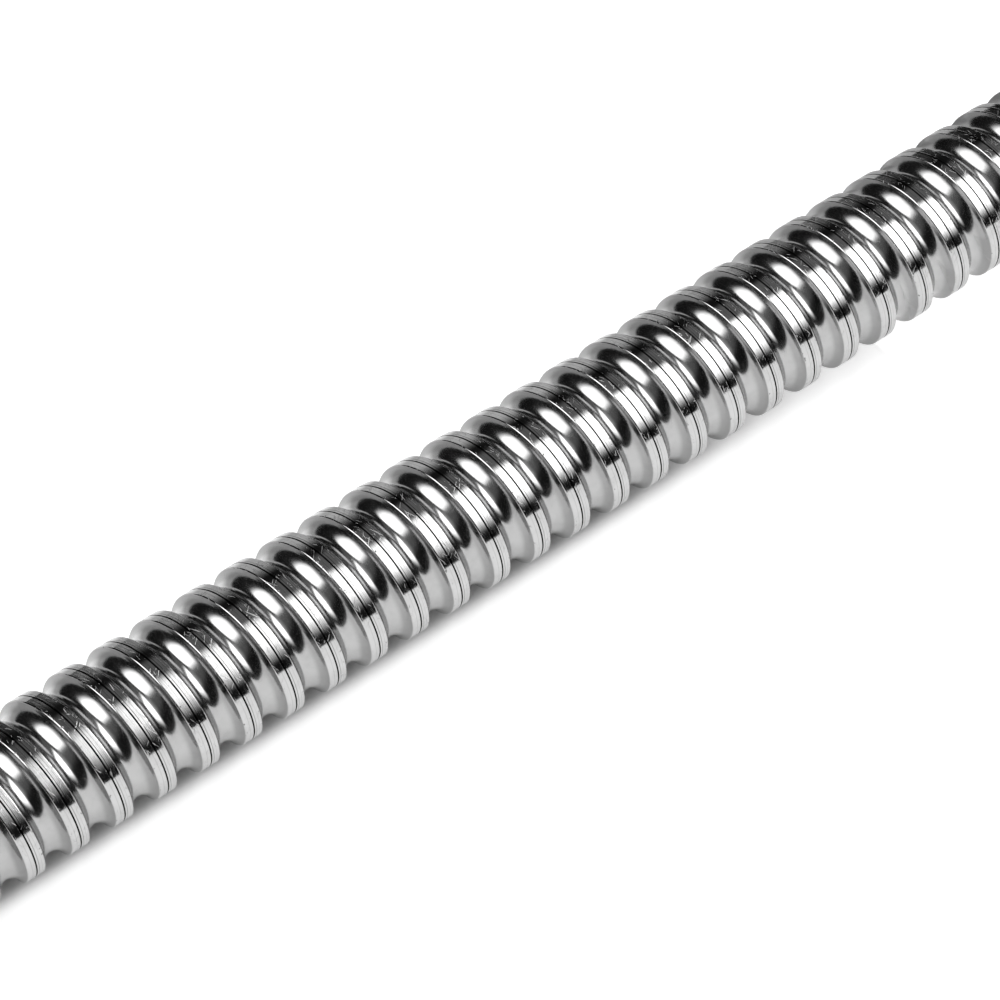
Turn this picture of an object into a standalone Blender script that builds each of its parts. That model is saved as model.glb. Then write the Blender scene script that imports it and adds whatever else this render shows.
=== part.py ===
"""Ball screw, 16 mm nominal with a 5 mm lead, with its flanged recirculating ball nut and journal bearings.

Every piece is modelled round its own local Z. The empties at the end of the file turn local +Z onto
world +X, so the screw lies along X with its driven end at -X. Lengths along the screw are measured
from the middle of the shaft. The units are metres.
"""
import math

import bmesh
import bpy
from mathutils import Matrix, Vector

MM = 0.001

# Screw shaft
SCREW_DIAMETER = 15.0 * MM
LEAD = 5.0 * MM
THREAD_LENGTH = 214.0 * MM
THREAD_CHAMFER = 0.8 * MM
BALL_DIAMETER = 3.175 * MM
BALL_CENTRE_RISE = 0.5 * MM
TRACK_PLAY = 0.05 * MM
ENVELOPE_RISE = 0.5 * MM

# Driven end of the shaft
DRIVE_DIAMETER = 10.0 * MM
DRIVE_LENGTH = 15.0 * MM
LOCK_THREAD_SPARE = 4.75 * MM
LOCK_THREAD_UNDER_COLLAR = 1.0 * MM
FIXED_SEAT_DIAMETER = 12.0 * MM
RELIEF_WIDTH = 1.2 * MM
RELIEF_DEPTH = 0.5 * MM

# Free end of the shaft
FREE_SEAT_DIAMETER = 10.0 * MM
FREE_END_SPARE = 2.25 * MM
CIRCLIP_GROOVE_DEPTH = 0.4 * MM
END_CHAMFER = 0.6 * MM
CENTRE_HOLE_RADIUS = 1.5 * MM
CENTRE_HOLE_DEPTH = 2.2 * MM

# Ball nut
NUT_WALL = 5.9 * MM
NUT_BORE_GAP = 0.6 * MM
NUT_PARK_GAP = 3.0 * MM
FLANGE_THICKNESS = 10.0 * MM
FLANGE_RIM = 10.0 * MM
FLANGE_FLAT_CUT = 4.0 * MM
FLANGE_CHAMFER = 0.6 * MM
BOLT_HOLE_DIAMETER = 5.5 * MM
BOLT_HOLE_STEP = math.radians(30)
BOLT_HOLES_A_SIDE = 3
LUBE_HOLE_DIAMETER = 2.5 * MM
LUBE_PORT_DIAMETER = 6.0 * MM
LUBE_PORT_DEPTH = 5.5 * MM
LUBE_PLUG_LENGTH = 4.5 * MM
LUBE_PLUG_SOCKET = 3.0 * MM
LUBE_PLUG_SOCKET_DEPTH = 2.0 * MM

# Ball circuits of the nut
CIRCUITS = 3
CIRCUIT_STEP = math.radians(480)
RETURN_HALF_ANGLE = math.radians(28)
RETURN_RAMP = 0.4
RETURN_LIFT_GAP = 0.25 * MM
RETURN_CHANNEL_PLAY = 0.15 * MM
RETURN_END_WALL = 1.8 * MM
DEFLECTOR_DIAMETER = 11.4 * MM
DEFLECTOR_SINK = 0.4 * MM
BEAD_NECK_RADIUS = 0.25 * MM
BEAD_CUFF = 0.66

# Wipers in the ends of the nut
WIPER_THICKNESS = 3.2 * MM
WIPER_SEAT_STEP = 2.2 * MM
WIPER_LIP = 1.0 * MM

# Bearings
BEARING_WIDTH = 8.0 * MM
BEARING_SECTION = 8.0 * MM
BEARING_BALL_DIAMETER = 4.762 * MM
RACE_SHOULDER_GAP = 1.35 * MM
RACE_RELIEF = 0.75 * MM
RING_CHAMFER = 0.4 * MM
CAGE_THICKNESS = 1.3 * MM
CAGE_WIDTH = 5.6 * MM
SHIELD_THICKNESS = 0.35 * MM
SHIELD_INSET = 0.35 * MM
SHIELD_SEAT_STEP = 0.6 * MM
FIXED_BALLS = 10
FREE_BALLS = 7

# Collars, lock nut and circlip
INNER_COLLAR_LENGTH = 5.0 * MM
OUTER_COLLAR_LENGTH = 4.0 * MM
COLLAR_WALL = 2.6 * MM
LOCK_NUT_FLATS = 19.0 * MM
LOCK_NUT_LENGTH = 8.0 * MM
LOCK_NUT_CHAMFER = 0.8 * MM
SET_SCREW_DIAMETER = 4.0 * MM
SET_SCREW_SINK = 0.3 * MM
SET_SCREW_SOCKET = 2.0 * MM
SET_SCREW_SOCKET_DEPTH = 0.9 * MM
PAD_LENGTH = 1.2 * MM
CIRCLIP_THICKNESS = 1.0 * MM
CIRCLIP_WIDTH = 1.7 * MM
CIRCLIP_LUG_WIDTH = 2.0 * MM
CIRCLIP_LUG_LENGTH = 2.6 * MM
CIRCLIP_EYE_DIAMETER = 1.1 * MM
CIRCLIP_GAP_ANGLE = math.radians(34)

# Clearances
SEAT_GAP = 0.25 * MM
RACE_PLAY = 0.06 * MM

# Facets
TRACK_STEPS = 14
TRACK_SIDES = 8
TURN_STEPS = 20
SMALL_STEPS = 12
RACE_SIDES = 4
CAGE_BALL_SEGMENTS = 6
CAGE_BALL_RINGS = 4
CHANNEL_STEPS = 12
LEAD_IN_STEPS = 3
LUG_STEPS = 3
EYE_STEPS = 8
PATH_STEPS = 240
SMOOTH_UP_TO = math.radians(35)
WELD = 0.01 * MM

# Sizes that follow from the ones above
SCREW_RADIUS = SCREW_DIAMETER / 2
BALL_RADIUS = BALL_DIAMETER / 2
BALL_CIRCLE_RADIUS = SCREW_RADIUS + BALL_CENTRE_RISE
FIXED_STACK = INNER_COLLAR_LENGTH + 2 * BEARING_WIDTH + OUTER_COLLAR_LENGTH + 4 * SEAT_GAP
FIXED_SEAT_LENGTH = FIXED_STACK - LOCK_THREAD_UNDER_COLLAR
LOCK_THREAD_LENGTH = LOCK_THREAD_UNDER_COLLAR + SEAT_GAP + LOCK_NUT_LENGTH + LOCK_THREAD_SPARE
FREE_SEAT_LENGTH = BEARING_WIDTH + CIRCLIP_THICKNESS + 3 * SEAT_GAP + FREE_END_SPARE
SHAFT_LENGTH = DRIVE_LENGTH + LOCK_THREAD_LENGTH + FIXED_SEAT_LENGTH + THREAD_LENGTH + FREE_SEAT_LENGTH
DRIVE_END = -SHAFT_LENGTH / 2
LOCK_THREAD_START = DRIVE_END + DRIVE_LENGTH
FIXED_SEAT_START = LOCK_THREAD_START + LOCK_THREAD_LENGTH
THREAD_START = FIXED_SEAT_START + FIXED_SEAT_LENGTH
THREAD_END = THREAD_START + THREAD_LENGTH
FREE_END = THREAD_END + FREE_SEAT_LENGTH
NUT_START = THREAD_START + NUT_PARK_GAP
RETURNS_LENGTH = (CIRCUITS - 1) * CIRCUIT_STEP * LEAD / math.tau
POCKETS_LENGTH = RETURNS_LENGTH + DEFLECTOR_DIAMETER + 2 * SEAT_GAP
NUT_LENGTH = FLANGE_THICKNESS + POCKETS_LENGTH + 2 * RETURN_END_WALL + WIPER_THICKNESS
NUT_END = NUT_START + NUT_LENGTH
NUT_BORE_RADIUS = SCREW_RADIUS + NUT_BORE_GAP
NUT_RADIUS = NUT_BORE_RADIUS + NUT_WALL
FLANGE_RADIUS = NUT_RADIUS + FLANGE_RIM
FLANGE_END = NUT_START + FLANGE_THICKNESS
WIPER_SEAT_RADIUS = NUT_BORE_RADIUS + WIPER_SEAT_STEP
RETURN_RADIUS = SCREW_RADIUS + BALL_RADIUS + RETURN_LIFT_GAP
BEARING_BALL_RADIUS = BEARING_BALL_DIAMETER / 2


def flats_on(radius, steps=TURN_STEPS):
    """The radius at the corners of a faceted bore whose flats lie on the given radius."""
    return radius / math.cos(math.pi / steps)


def fresh_scene():
    for thing in list(bpy.data.objects):
        bpy.data.objects.remove(thing, do_unlink=True)


def collection(name):
    made = bpy.data.collections.new(name)
    bpy.context.scene.collection.children.link(made)
    return made


def metal(name, colour, roughness, metallic=1.0):
    """A Principled material from a linear colour."""
    made = bpy.data.materials.new(name)
    made.use_nodes = True
    surface = made.node_tree.nodes["Principled BSDF"]
    surface.inputs["Base Color"].default_value = (*colour, 1.0)
    surface.inputs["Roughness"].default_value = roughness
    surface.inputs["Metallic"].default_value = metallic
    made.diffuse_color = (*colour, 1.0)
    return made


def add(name, mesh, home, surface=None, parent=None, at=0.0):
    """Links a mesh as an object on its parent's axis, at a station along it."""
    made = bpy.data.objects.new(name, mesh)
    home.objects.link(made)
    made.parent = parent
    made.location = (0, 0, at)
    if surface is not None:
        mesh.materials.append(surface)
    return made


def profile_mesh(name, points, closed):
    """A profile of (radius, station) points in the XZ plane."""
    mesh = bpy.data.meshes.new(name)
    count = len(points)
    edges = [(i, i + 1) for i in range(count - 1)]
    if closed:
        edges.append((count - 1, 0))
    mesh.from_pydata([(r, 0, z) for r, z in points], edges, [])
    return mesh


def spin(thing, steps=TURN_STEPS):
    """Turns a profile object round its local Z."""
    turn = thing.modifiers.new("Turned", "SCREW")
    turn.axis = "Z"
    turn.steps = steps
    turn.render_steps = steps
    turn.use_merge_vertices = True
    turn.merge_threshold = WELD
    return turn


def baked(thing):
    """Replaces an object's modifiers by the mesh that they give."""
    graph = bpy.context.evaluated_depsgraph_get()
    mesh = bpy.data.meshes.new_from_object(thing.evaluated_get(graph))
    thing.modifiers.clear()
    old = thing.data
    thing.data = mesh
    mesh.name = old.name
    return thing


def smooth(thing):
    """Shades round faces smooth and keeps real edges sharp."""
    thing.data.shade_smooth()
    thing.data.set_sharp_from_angle(angle=SMOOTH_UP_TO)


def cutter_object(name, mesh, at=0.0):
    """An object that only cuts or joins others."""
    made = add(name, mesh, CUTTERS, parent=CUTTER_AXIS, at=at)
    made.hide_render = True
    made.display_type = "WIRE"
    return made


def cut(thing, cutter, operation="DIFFERENCE"):
    tool = thing.modifiers.new(cutter.name, "BOOLEAN")
    tool.operation = operation
    tool.solver = "EXACT"
    tool.object = cutter


def rod_mesh(name, radius, low, high, steps=SMALL_STEPS, turn=0.0):
    """A round or many-sided rod along local Z between two stations."""
    mesh = bpy.data.meshes.new(name)
    shape = bmesh.new()
    middle = Matrix.Translation((0, 0, (low + high) / 2)) @ Matrix.Rotation(turn, 4, "Z")
    bmesh.ops.create_cone(
        shape,
        cap_ends=True,
        segments=steps,
        radius1=radius,
        radius2=radius,
        depth=high - low,
        matrix=middle,
    )
    shape.to_mesh(mesh)
    shape.free()
    return mesh


def across(angle, station):
    """Stands local Z on the screw's axis at a station, pointing out along the given angle."""
    outwards = Matrix.Rotation(angle, 4, "Z") @ Matrix.Rotation(math.pi / 2, 4, "Y")
    return Matrix.Translation((0, 0, station)) @ outwards


def placed(mesh, matrix):
    mesh.transform(matrix)
    return mesh


def hexagon(name, across_flats, low, high, turn=0.0):
    """A six-sided rod, sized by the distance between two opposite flats."""
    return rod_mesh(name, flats_on(across_flats / 2, 6), low, high, 6, turn)


def track_station(angle):
    """The station of the ball track's middle at an angle counted up from the start of the thread."""
    return THREAD_START + LEAD * angle / math.tau


def track_bar(name, land_radius, side, first_turn, last_turn):
    """A round bar with the ball track swept along it: a groove for the shaft, a ridge for the nut's bore.

    The side is -1 for the shaft and 1 for the nut. The bar's ends are drawn to a point, and are always
    cut away.
    """
    reach = (BALL_RADIUS + TRACK_PLAY) / math.cos(math.pi / TRACK_SIDES)
    edges = TRACK_SIDES // 2
    track = []
    for i in range(edges + 1):
        angle = math.pi * (i / edges - 0.5)
        radius = BALL_CIRCLE_RADIUS + side * reach * math.cos(angle)
        track.append((flats_on(radius, TRACK_STEPS) if side > 0 else radius, reach * math.sin(angle)))
    track[0] = on_land(track[0], track[1], land_radius)
    track[-1] = on_land(track[-1], track[-2], land_radius)
    points = [(land_radius, track[0][1])] if side > 0 else []
    points += track
    if side > 0:
        points.append((land_radius, track[-1][1]))
    points.append((land_radius, points[0][1] + LEAD))
    points.reverse()
    start = track_station(math.tau * first_turn)
    bar = cutter_object(name, profile_mesh(name, points, closed=False), at=start)
    sweep = spin(bar, TRACK_STEPS)
    sweep.screw_offset = LEAD
    sweep.iterations = last_turn - first_turn
    baked(bar)
    shape = bmesh.new()
    shape.from_mesh(bar.data)
    bmesh.ops.remove_doubles(shape, verts=shape.verts, dist=WELD)
    middle = LEAD * (last_turn - first_turn) / 2
    for tip in (-LEAD, 2 * middle + LEAD):
        rim = [e for e in shape.edges if e.is_boundary and (e.verts[0].co.z > middle) == (tip > middle)]
        drawn = bmesh.ops.extrude_edge_only(shape, edges=rim)["geom"]
        corners = [g for g in drawn if isinstance(g, bmesh.types.BMVert)]
        bmesh.ops.pointmerge(shape, verts=corners, merge_co=(0, 0, tip))
    bmesh.ops.recalc_face_normals(shape, faces=shape.faces)
    shape.to_mesh(bar.data)
    shape.free()
    return bar


def on_land(outside, inside, land_radius):
    """Where the line between two points of a track profile crosses the land."""
    share = (land_radius - inside[0]) / (outside[0] - inside[0])
    return land_radius, inside[1] + share * (outside[1] - inside[1])


def screw_shaft():
    """A rolled bar whose ends are turned down to the journals, made as the bar inside a turned envelope."""
    drive = DRIVE_DIAMETER / 2
    fixed = FIXED_SEAT_DIAMETER / 2
    free = FREE_SEAT_DIAMETER / 2
    groove_low, groove_high = circlip_groove()
    bar = SCREW_RADIUS + ENVELOPE_RISE
    envelope = [
        (0, FREE_END - CENTRE_HOLE_DEPTH),
        (CENTRE_HOLE_RADIUS, FREE_END),
        (free - END_CHAMFER, FREE_END),
        (free, FREE_END - END_CHAMFER),
        (free, groove_high),
        (free - CIRCLIP_GROOVE_DEPTH, groove_high),
        (free - CIRCLIP_GROOVE_DEPTH, groove_low),
        (free, groove_low),
        (free, THREAD_END),
        (SCREW_RADIUS - THREAD_CHAMFER, THREAD_END),
        (bar, THREAD_END - THREAD_CHAMFER - ENVELOPE_RISE),
        (bar, THREAD_START + THREAD_CHAMFER + ENVELOPE_RISE),
        (SCREW_RADIUS - THREAD_CHAMFER, THREAD_START),
        (fixed, THREAD_START),
        (fixed, FIXED_SEAT_START),
        (fixed - RELIEF_DEPTH, FIXED_SEAT_START),
        (fixed - RELIEF_DEPTH, FIXED_SEAT_START - RELIEF_WIDTH),
        (fixed, FIXED_SEAT_START - RELIEF_WIDTH),
        (fixed, LOCK_THREAD_START + END_CHAMFER),
        (fixed - END_CHAMFER, LOCK_THREAD_START),
        (drive, LOCK_THREAD_START),
        (drive, DRIVE_END + END_CHAMFER),
        (drive - END_CHAMFER, DRIVE_END),
        (CENTRE_HOLE_RADIUS, DRIVE_END),
        (0, DRIVE_END + CENTRE_HOLE_DEPTH),
    ]
    turned = profile_mesh("screw_shaft", envelope, closed=False)
    shaft = add("screw_shaft", turned, PARTS, POLISHED, SCREW_AXIS)
    spin(shaft, 2 * TRACK_STEPS)
    before = math.ceil((THREAD_START - DRIVE_END) / LEAD) + 1
    after = math.ceil((FREE_END - THREAD_START) / LEAD) + 1
    cut(shaft, track_bar("rolled_bar", SCREW_RADIUS, -1, -before, after), "INTERSECT")
    return shaft


def circlip_groove():
    """The low and high station of the groove that holds the circlip."""
    low = THREAD_END + SEAT_GAP + BEARING_WIDTH
    return low, low + CIRCLIP_THICKNESS + 2 * SEAT_GAP


def nut_body():
    """The flanged nut: a turned body with flats, bolt holes, ball track, wiper seats and pockets."""
    seat = flats_on(WIPER_SEAT_RADIUS, 2 * TRACK_STEPS)
    seat_depth = WIPER_THICKNESS + SEAT_GAP
    profile = [
        (0, NUT_END - seat_depth),
        (seat, NUT_END - seat_depth),
        (seat, NUT_END),
        (NUT_RADIUS - FLANGE_CHAMFER, NUT_END),
        (NUT_RADIUS, NUT_END - FLANGE_CHAMFER),
        (NUT_RADIUS, FLANGE_END),
        (FLANGE_RADIUS - FLANGE_CHAMFER, FLANGE_END),
        (FLANGE_RADIUS, FLANGE_END - FLANGE_CHAMFER),
        (FLANGE_RADIUS, NUT_START + FLANGE_CHAMFER),
        (FLANGE_RADIUS - FLANGE_CHAMFER, NUT_START),
        (seat, NUT_START),
        (seat, NUT_START + seat_depth),
        (0, NUT_START + seat_depth),
    ]
    body = add("nut_body", profile_mesh("nut_body", profile, closed=False), PARTS, GROUND, NUT_AXIS)
    spin(body, 2 * TRACK_STEPS)
    first = math.floor((NUT_START - THREAD_START) / LEAD) - 1
    last = math.ceil((NUT_END - THREAD_START) / LEAD) + 1
    cut(body, track_bar("nut_core", flats_on(NUT_BORE_RADIUS, TRACK_STEPS), 1, first, last))
    for side in (-1, 1):
        cut(body, flange_flat(side))
        for i in range(BOLT_HOLES_A_SIDE):
            turn = (i - (BOLT_HOLES_A_SIDE - 1) / 2) * BOLT_HOLE_STEP
            cut(body, bolt_hole(side, i, turn))
    cut(body, lube_passage())
    cut(body, lube_port())
    for i in range(CIRCUITS):
        cut(body, deflector_pocket(i))
    return body


def deflector_pocket(number):
    """The round hole through the nut's wall that holds one return deflector."""
    name = f"deflector_pocket_{number + 1}"
    angle, station = return_place(number)
    pocket = rod_mesh(name, flats_on(DEFLECTOR_DIAMETER / 2 + SEAT_GAP), 0, 2 * NUT_RADIUS, TURN_STEPS)
    return cutter_object(name, placed(pocket, across(angle, station)))


def flange_flat(side):
    """A block that takes one flat off the flange."""
    shape = bmesh.new()
    bmesh.ops.create_cube(shape, size=1.0)
    block = bpy.data.meshes.new("flange_flat")
    shape.to_mesh(block)
    shape.free()
    depth = 2 * FLANGE_FLAT_CUT
    size = Matrix.Diagonal((depth, 3 * FLANGE_RADIUS, 2 * FLANGE_THICKNESS, 1))
    place = Matrix.Translation((side * FLANGE_RADIUS, 0, NUT_START + FLANGE_THICKNESS / 2))
    return cutter_object(f"flange_flat_{side:+d}", placed(block, place @ size))


def bolt_hole(side, number, turn):
    """One bolt hole, on the middle of the rim and beside the flats."""
    circle = (NUT_RADIUS + FLANGE_RADIUS) / 2
    angle = math.copysign(math.pi / 2, side) + turn
    name = f"bolt_hole_{side:+d}_{number}"
    low, high = NUT_START - FLANGE_THICKNESS, FLANGE_END + FLANGE_THICKNESS
    radius = flats_on(BOLT_HOLE_DIAMETER / 2, SMALL_STEPS)
    mesh = rod_mesh(name, radius, low, high, turn=math.pi / SMALL_STEPS)
    place = Matrix.Translation((circle * math.cos(angle), circle * math.sin(angle), 0))
    return cutter_object(name, placed(mesh, place))


def flange_flat_reach():
    """The distance from the axis to a flat of the flange."""
    return FLANGE_RADIUS - FLANGE_FLAT_CUT


def from_upper_flat():
    """Stands local Z on the axis, pointing out through the middle of the flange's upper flat."""
    return across(math.pi, NUT_START + FLANGE_THICKNESS / 2)


def lube_passage():
    """The oil way from the flange's upper flat to the ball track."""
    mesh = rod_mesh("lube_passage", LUBE_HOLE_DIAMETER / 2, 0, FLANGE_RADIUS)
    return cutter_object("lube_passage", placed(mesh, from_upper_flat()))


def lube_port():
    """The wider threaded mouth of the oil way, which holds its plug."""
    bottom = flange_flat_reach() - LUBE_PORT_DEPTH
    mesh = rod_mesh("lube_port", flats_on(LUBE_PORT_DIAMETER / 2, SMALL_STEPS), bottom, FLANGE_RADIUS)
    return cutter_object("lube_port", placed(mesh, from_upper_flat()))


def lube_plug():
    """The headless socket screw that closes the lubrication port."""
    seat = flange_flat_reach() - LUBE_PORT_DEPTH + SEAT_GAP
    top = seat + LUBE_PLUG_LENGTH
    place = from_upper_flat()
    mesh = rod_mesh("lube_plug", LUBE_PORT_DIAMETER / 2 - SEAT_GAP, seat, top)
    plug = add("lube_plug", placed(mesh, place), PARTS, BLACKENED, NUT_AXIS)
    bottom = top - LUBE_PLUG_SOCKET_DEPTH
    socket = hexagon("lube_plug_socket", LUBE_PLUG_SOCKET, bottom, top + LUBE_PLUG_LENGTH)
    cut(plug, cutter_object("lube_plug_socket", placed(socket, place)))
    return plug


def first_return_angle():
    """The track angle of the first return, with the returns centred on the body beside the flange."""
    middle = (FLANGE_END + NUT_END - WIPER_THICKNESS) / 2
    return math.tau * (middle - RETURNS_LENGTH / 2 - LEAD / 2 - THREAD_START) / LEAD


def return_place(number):
    """The angle round the axis and the station of one return's middle."""
    angle = first_return_angle() + number * CIRCUIT_STEP
    return angle, track_station(angle) + LEAD / 2


def ease(t):
    """A smooth step from 0 to 1, level at both ends."""
    t = min(max(t, 0.0), 1.0)
    return t - math.sin(math.tau * t) / math.tau


def return_point(number, t):
    """A point on the way back over the land, from the far turn at t = 0 to the near turn at t = 1."""
    middle = first_return_angle() + number * CIRCUIT_STEP
    angle = middle + RETURN_HALF_ANGLE * (2 * t - 1)
    station = track_station(angle) + LEAD * (1 - ease(t))
    lift = ease(min(t, 1 - t) / RETURN_RAMP)
    radius = BALL_CIRCLE_RADIUS + (RETURN_RADIUS - BALL_CIRCLE_RADIUS) * lift
    return Vector((radius * math.cos(angle), radius * math.sin(angle), station))


def track_point(angle):
    """A point on the middle of the ball track."""
    across_axis = (math.cos(angle), math.sin(angle))
    return Vector((*(BALL_CIRCLE_RADIUS * share for share in across_axis), track_station(angle)))


def circuit_path(number):
    """Closely spaced points once round a ball circuit: one turn of track, then back over the land."""
    middle = first_return_angle() + number * CIRCUIT_STEP
    first = middle + RETURN_HALF_ANGLE
    last = middle + math.tau - RETURN_HALF_ANGLE
    turn = [track_point(first + (last - first) * i / PATH_STEPS) for i in range(PATH_STEPS)]
    back = [return_point(number, i / PATH_STEPS) for i in range(PATH_STEPS)]
    return turn + back


def along(path, distance):
    """The point of a closed path at a distance from its start, with the running lengths in hand."""
    points, lengths = path
    distance %= lengths[-1]
    low, high = 0, len(lengths) - 1
    while high - low > 1:
        middle = (low + high) // 2
        if lengths[middle] <= distance:
            low = middle
        else:
            high = middle
    share = (distance - lengths[low]) / (lengths[high] - lengths[low])
    return points[low].lerp(points[high % len(points)], share)


def measured(points):
    """A closed path with its running lengths."""
    lengths = [0.0]
    for i, point in enumerate(points):
        lengths.append(lengths[-1] + (points[(i + 1) % len(points)] - point).length)
    return points, lengths


def tube(name, points, radii, radius, cyclic):
    """A bevelled poly curve whose radius can change from point to point."""
    line = bpy.data.curves.new(name, "CURVE")
    line.dimensions = "3D"
    line.bevel_depth = radius
    line.bevel_resolution = 1
    line.use_fill_caps = not cyclic
    line.twist_mode = "MINIMUM"
    spline = line.splines.new("POLY")
    spline.points.add(len(points) - 1)
    spline.use_cyclic_u = cyclic
    for knot, place, share in zip(spline.points, points, radii):
        knot.co = (*place, 1)
        knot.radius = share
    return line


def tube_mesh(name, line):
    """A curve as a welded mesh."""
    thing = bpy.data.objects.new(name, line)
    CUTTERS.objects.link(thing)
    graph = bpy.context.evaluated_depsgraph_get()
    mesh = bpy.data.meshes.new_from_object(thing.evaluated_get(graph))
    mesh.name = name
    shape = bmesh.new()
    shape.from_mesh(mesh)
    bmesh.ops.remove_doubles(shape, verts=shape.verts, dist=WELD)
    bmesh.ops.recalc_face_normals(shape, faces=shape.faces)
    shape.to_mesh(mesh)
    shape.free()
    bpy.data.objects.remove(thing)
    return mesh


def ball_circuit(number):
    """The balls of one circuit as a closed string of beads, each touching the next through a thin neck."""
    path = measured(circuit_path(number))
    length = path[1][-1]
    balls = math.floor(length / BALL_DIAMETER)
    step = length / balls
    cuff = BEAD_CUFF * BALL_RADIUS
    cuff_share = math.sqrt(1 - BEAD_CUFF**2)
    marks = (
        (0.0, 1.0),
        (cuff, cuff_share),
        (step / 2, BEAD_NECK_RADIUS / BALL_RADIUS),
        (step - cuff, cuff_share),
    )
    points, radii = [], []
    for i in range(balls):
        for offset, share in marks:
            points.append(along(path, i * step + offset))
            radii.append(share)
    name = f"ball_circuit_{number + 1}"
    string = tube(name, points, radii, BALL_RADIUS, cyclic=True)
    return add(name, tube_mesh(name, string), PARTS, HARDENED, NUT_AXIS)


def return_deflector(number):
    """The insert that lifts the balls over the land and back by one turn."""
    angle, station = return_place(number)
    name = f"return_deflector_{number + 1}"
    top = NUT_RADIUS - DEFLECTOR_SINK
    mesh = rod_mesh(name, DEFLECTOR_DIAMETER / 2, 0, NUT_RADIUS, TURN_STEPS)
    insert = add(name, placed(mesh, across(angle, station)), PARTS, SINTERED, NUT_AXIS)
    low, high = station - DEFLECTOR_DIAMETER, station + DEFLECTOR_DIAMETER
    bore = flats_on(NUT_BORE_RADIUS, TRACK_STEPS)
    section = [(top, high), (top, low), (bore, low), (bore, high)]
    wall = cutter_object(f"{name}_wall", profile_mesh(f"{name}_wall", section, closed=True))
    spin(wall, 2 * TRACK_STEPS)
    cut(insert, wall, "INTERSECT")
    cut(insert, return_channel(number))
    return insert


def return_channel(number):
    """The tunnel that the balls follow through a deflector, with a stretch of track at each end."""
    name = f"return_channel_{number + 1}"
    middle = first_return_angle() + number * CIRCUIT_STEP
    far = middle + math.tau - RETURN_HALF_ANGLE
    near = middle + RETURN_HALF_ANGLE
    step = RETURN_HALF_ANGLE / LEAD_IN_STEPS
    points = [track_point(far - step * (LEAD_IN_STEPS - i)) for i in range(LEAD_IN_STEPS)]
    points += [return_point(number, i / CHANNEL_STEPS) for i in range(CHANNEL_STEPS + 1)]
    points += [track_point(near + step * (i + 1)) for i in range(LEAD_IN_STEPS)]
    line = tube(name, points, [1.0] * len(points), BALL_RADIUS + RETURN_CHANNEL_PLAY, cyclic=False)
    return cutter_object(name, tube_mesh(name, line))


def wiper(name, low):
    """A ring that keeps dirt out of one end of the nut, thicker where it seats than at its lip."""
    high = low + WIPER_THICKNESS
    lip = flats_on(SCREW_RADIUS + SEAT_GAP, TURN_STEPS)
    outer = WIPER_SEAT_RADIUS - SEAT_GAP
    profile = [
        (outer, high),
        (outer, low),
        (lip, low),
        (lip, low + WIPER_LIP),
        (lip + WIPER_LIP / 2, low + WIPER_LIP),
        (lip + WIPER_LIP / 2, high - WIPER_LIP),
        (lip, high - WIPER_LIP),
        (lip, high),
    ]
    ring = add(name, profile_mesh(name, profile, closed=True), PARTS, PLASTIC, NUT_AXIS)
    spin(ring)
    return ring


def race(shoulder_radius, centre, station, side):
    """The groove of a ring between its shoulders. The side is -1 for an inner ring and 1 for an outer one."""
    clear = BEARING_BALL_RADIUS + RACE_PLAY
    shoulder = abs(centre - shoulder_radius)
    reach = clear / math.cos(math.acos(shoulder / clear) / RACE_SIDES)
    opening = math.acos(shoulder / reach)
    angles = [opening * (2 * i / RACE_SIDES - 1) for i in range(RACE_SIDES + 1)]
    return [(centre + side * reach * math.cos(a), station - side * reach * math.sin(a)) for a in angles]


def inner_ring(name, bore_diameter, low):
    """An inner ring with a groove between two equal shoulders."""
    bore = flats_on(bore_diameter / 2 + SEAT_GAP)
    centre = (bore_diameter + BEARING_SECTION) / 2
    shoulder = centre - RACE_SHOULDER_GAP
    high = low + BEARING_WIDTH
    groove = race(shoulder, centre, (low + high) / 2, -1)
    profile = [(shoulder, high)]
    profile += sorted(groove, key=lambda point: -point[1])
    profile += [(shoulder, low), (bore, low), (bore, high)]
    ring = add(name, profile_mesh(name, profile, closed=True), PARTS, GROUND, SCREW_AXIS)
    spin(ring)
    return ring


def outer_ring(name, bore_diameter, low, relieved=0, shielded=False):
    """An outer ring. One shoulder may be cut down for angular contact, or both stepped for shields."""
    outside = bore_diameter / 2 + BEARING_SECTION
    centre = (bore_diameter + BEARING_SECTION) / 2
    high = low + BEARING_WIDTH
    shoulder = centre + RACE_SHOULDER_GAP
    groove = sorted(race(shoulder, centre, (low + high) / 2, 1), key=lambda point: point[1])
    near = [(flats_on(shoulder), low)]
    far = [(flats_on(shoulder), high)]
    if shielded:
        step = flats_on(shoulder + SHIELD_SEAT_STEP)
        depth = SHIELD_INSET + SHIELD_THICKNESS + SEAT_GAP
        near = [(step, low), (step, low + depth), (flats_on(shoulder), low + depth)]
        far = [(flats_on(shoulder), high - depth), (step, high - depth), (step, high)]
    inside = [(flats_on(r), z) for r, z in groove]
    if relieved > 0:
        inside = inside[:-1]
        far = [(flats_on(shoulder + RACE_RELIEF), high)]
    if relieved < 0:
        inside = inside[1:]
        near = [(flats_on(shoulder + RACE_RELIEF), low)]
    profile = [
        (outside - RING_CHAMFER, high),
        (outside, high - RING_CHAMFER),
        (outside, low + RING_CHAMFER),
        (outside - RING_CHAMFER, low),
    ]
    profile += near + inside + far
    ring = add(name, profile_mesh(name, profile, closed=True), PARTS, GROUND, FIXED_AXIS)
    spin(ring)
    return ring


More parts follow.
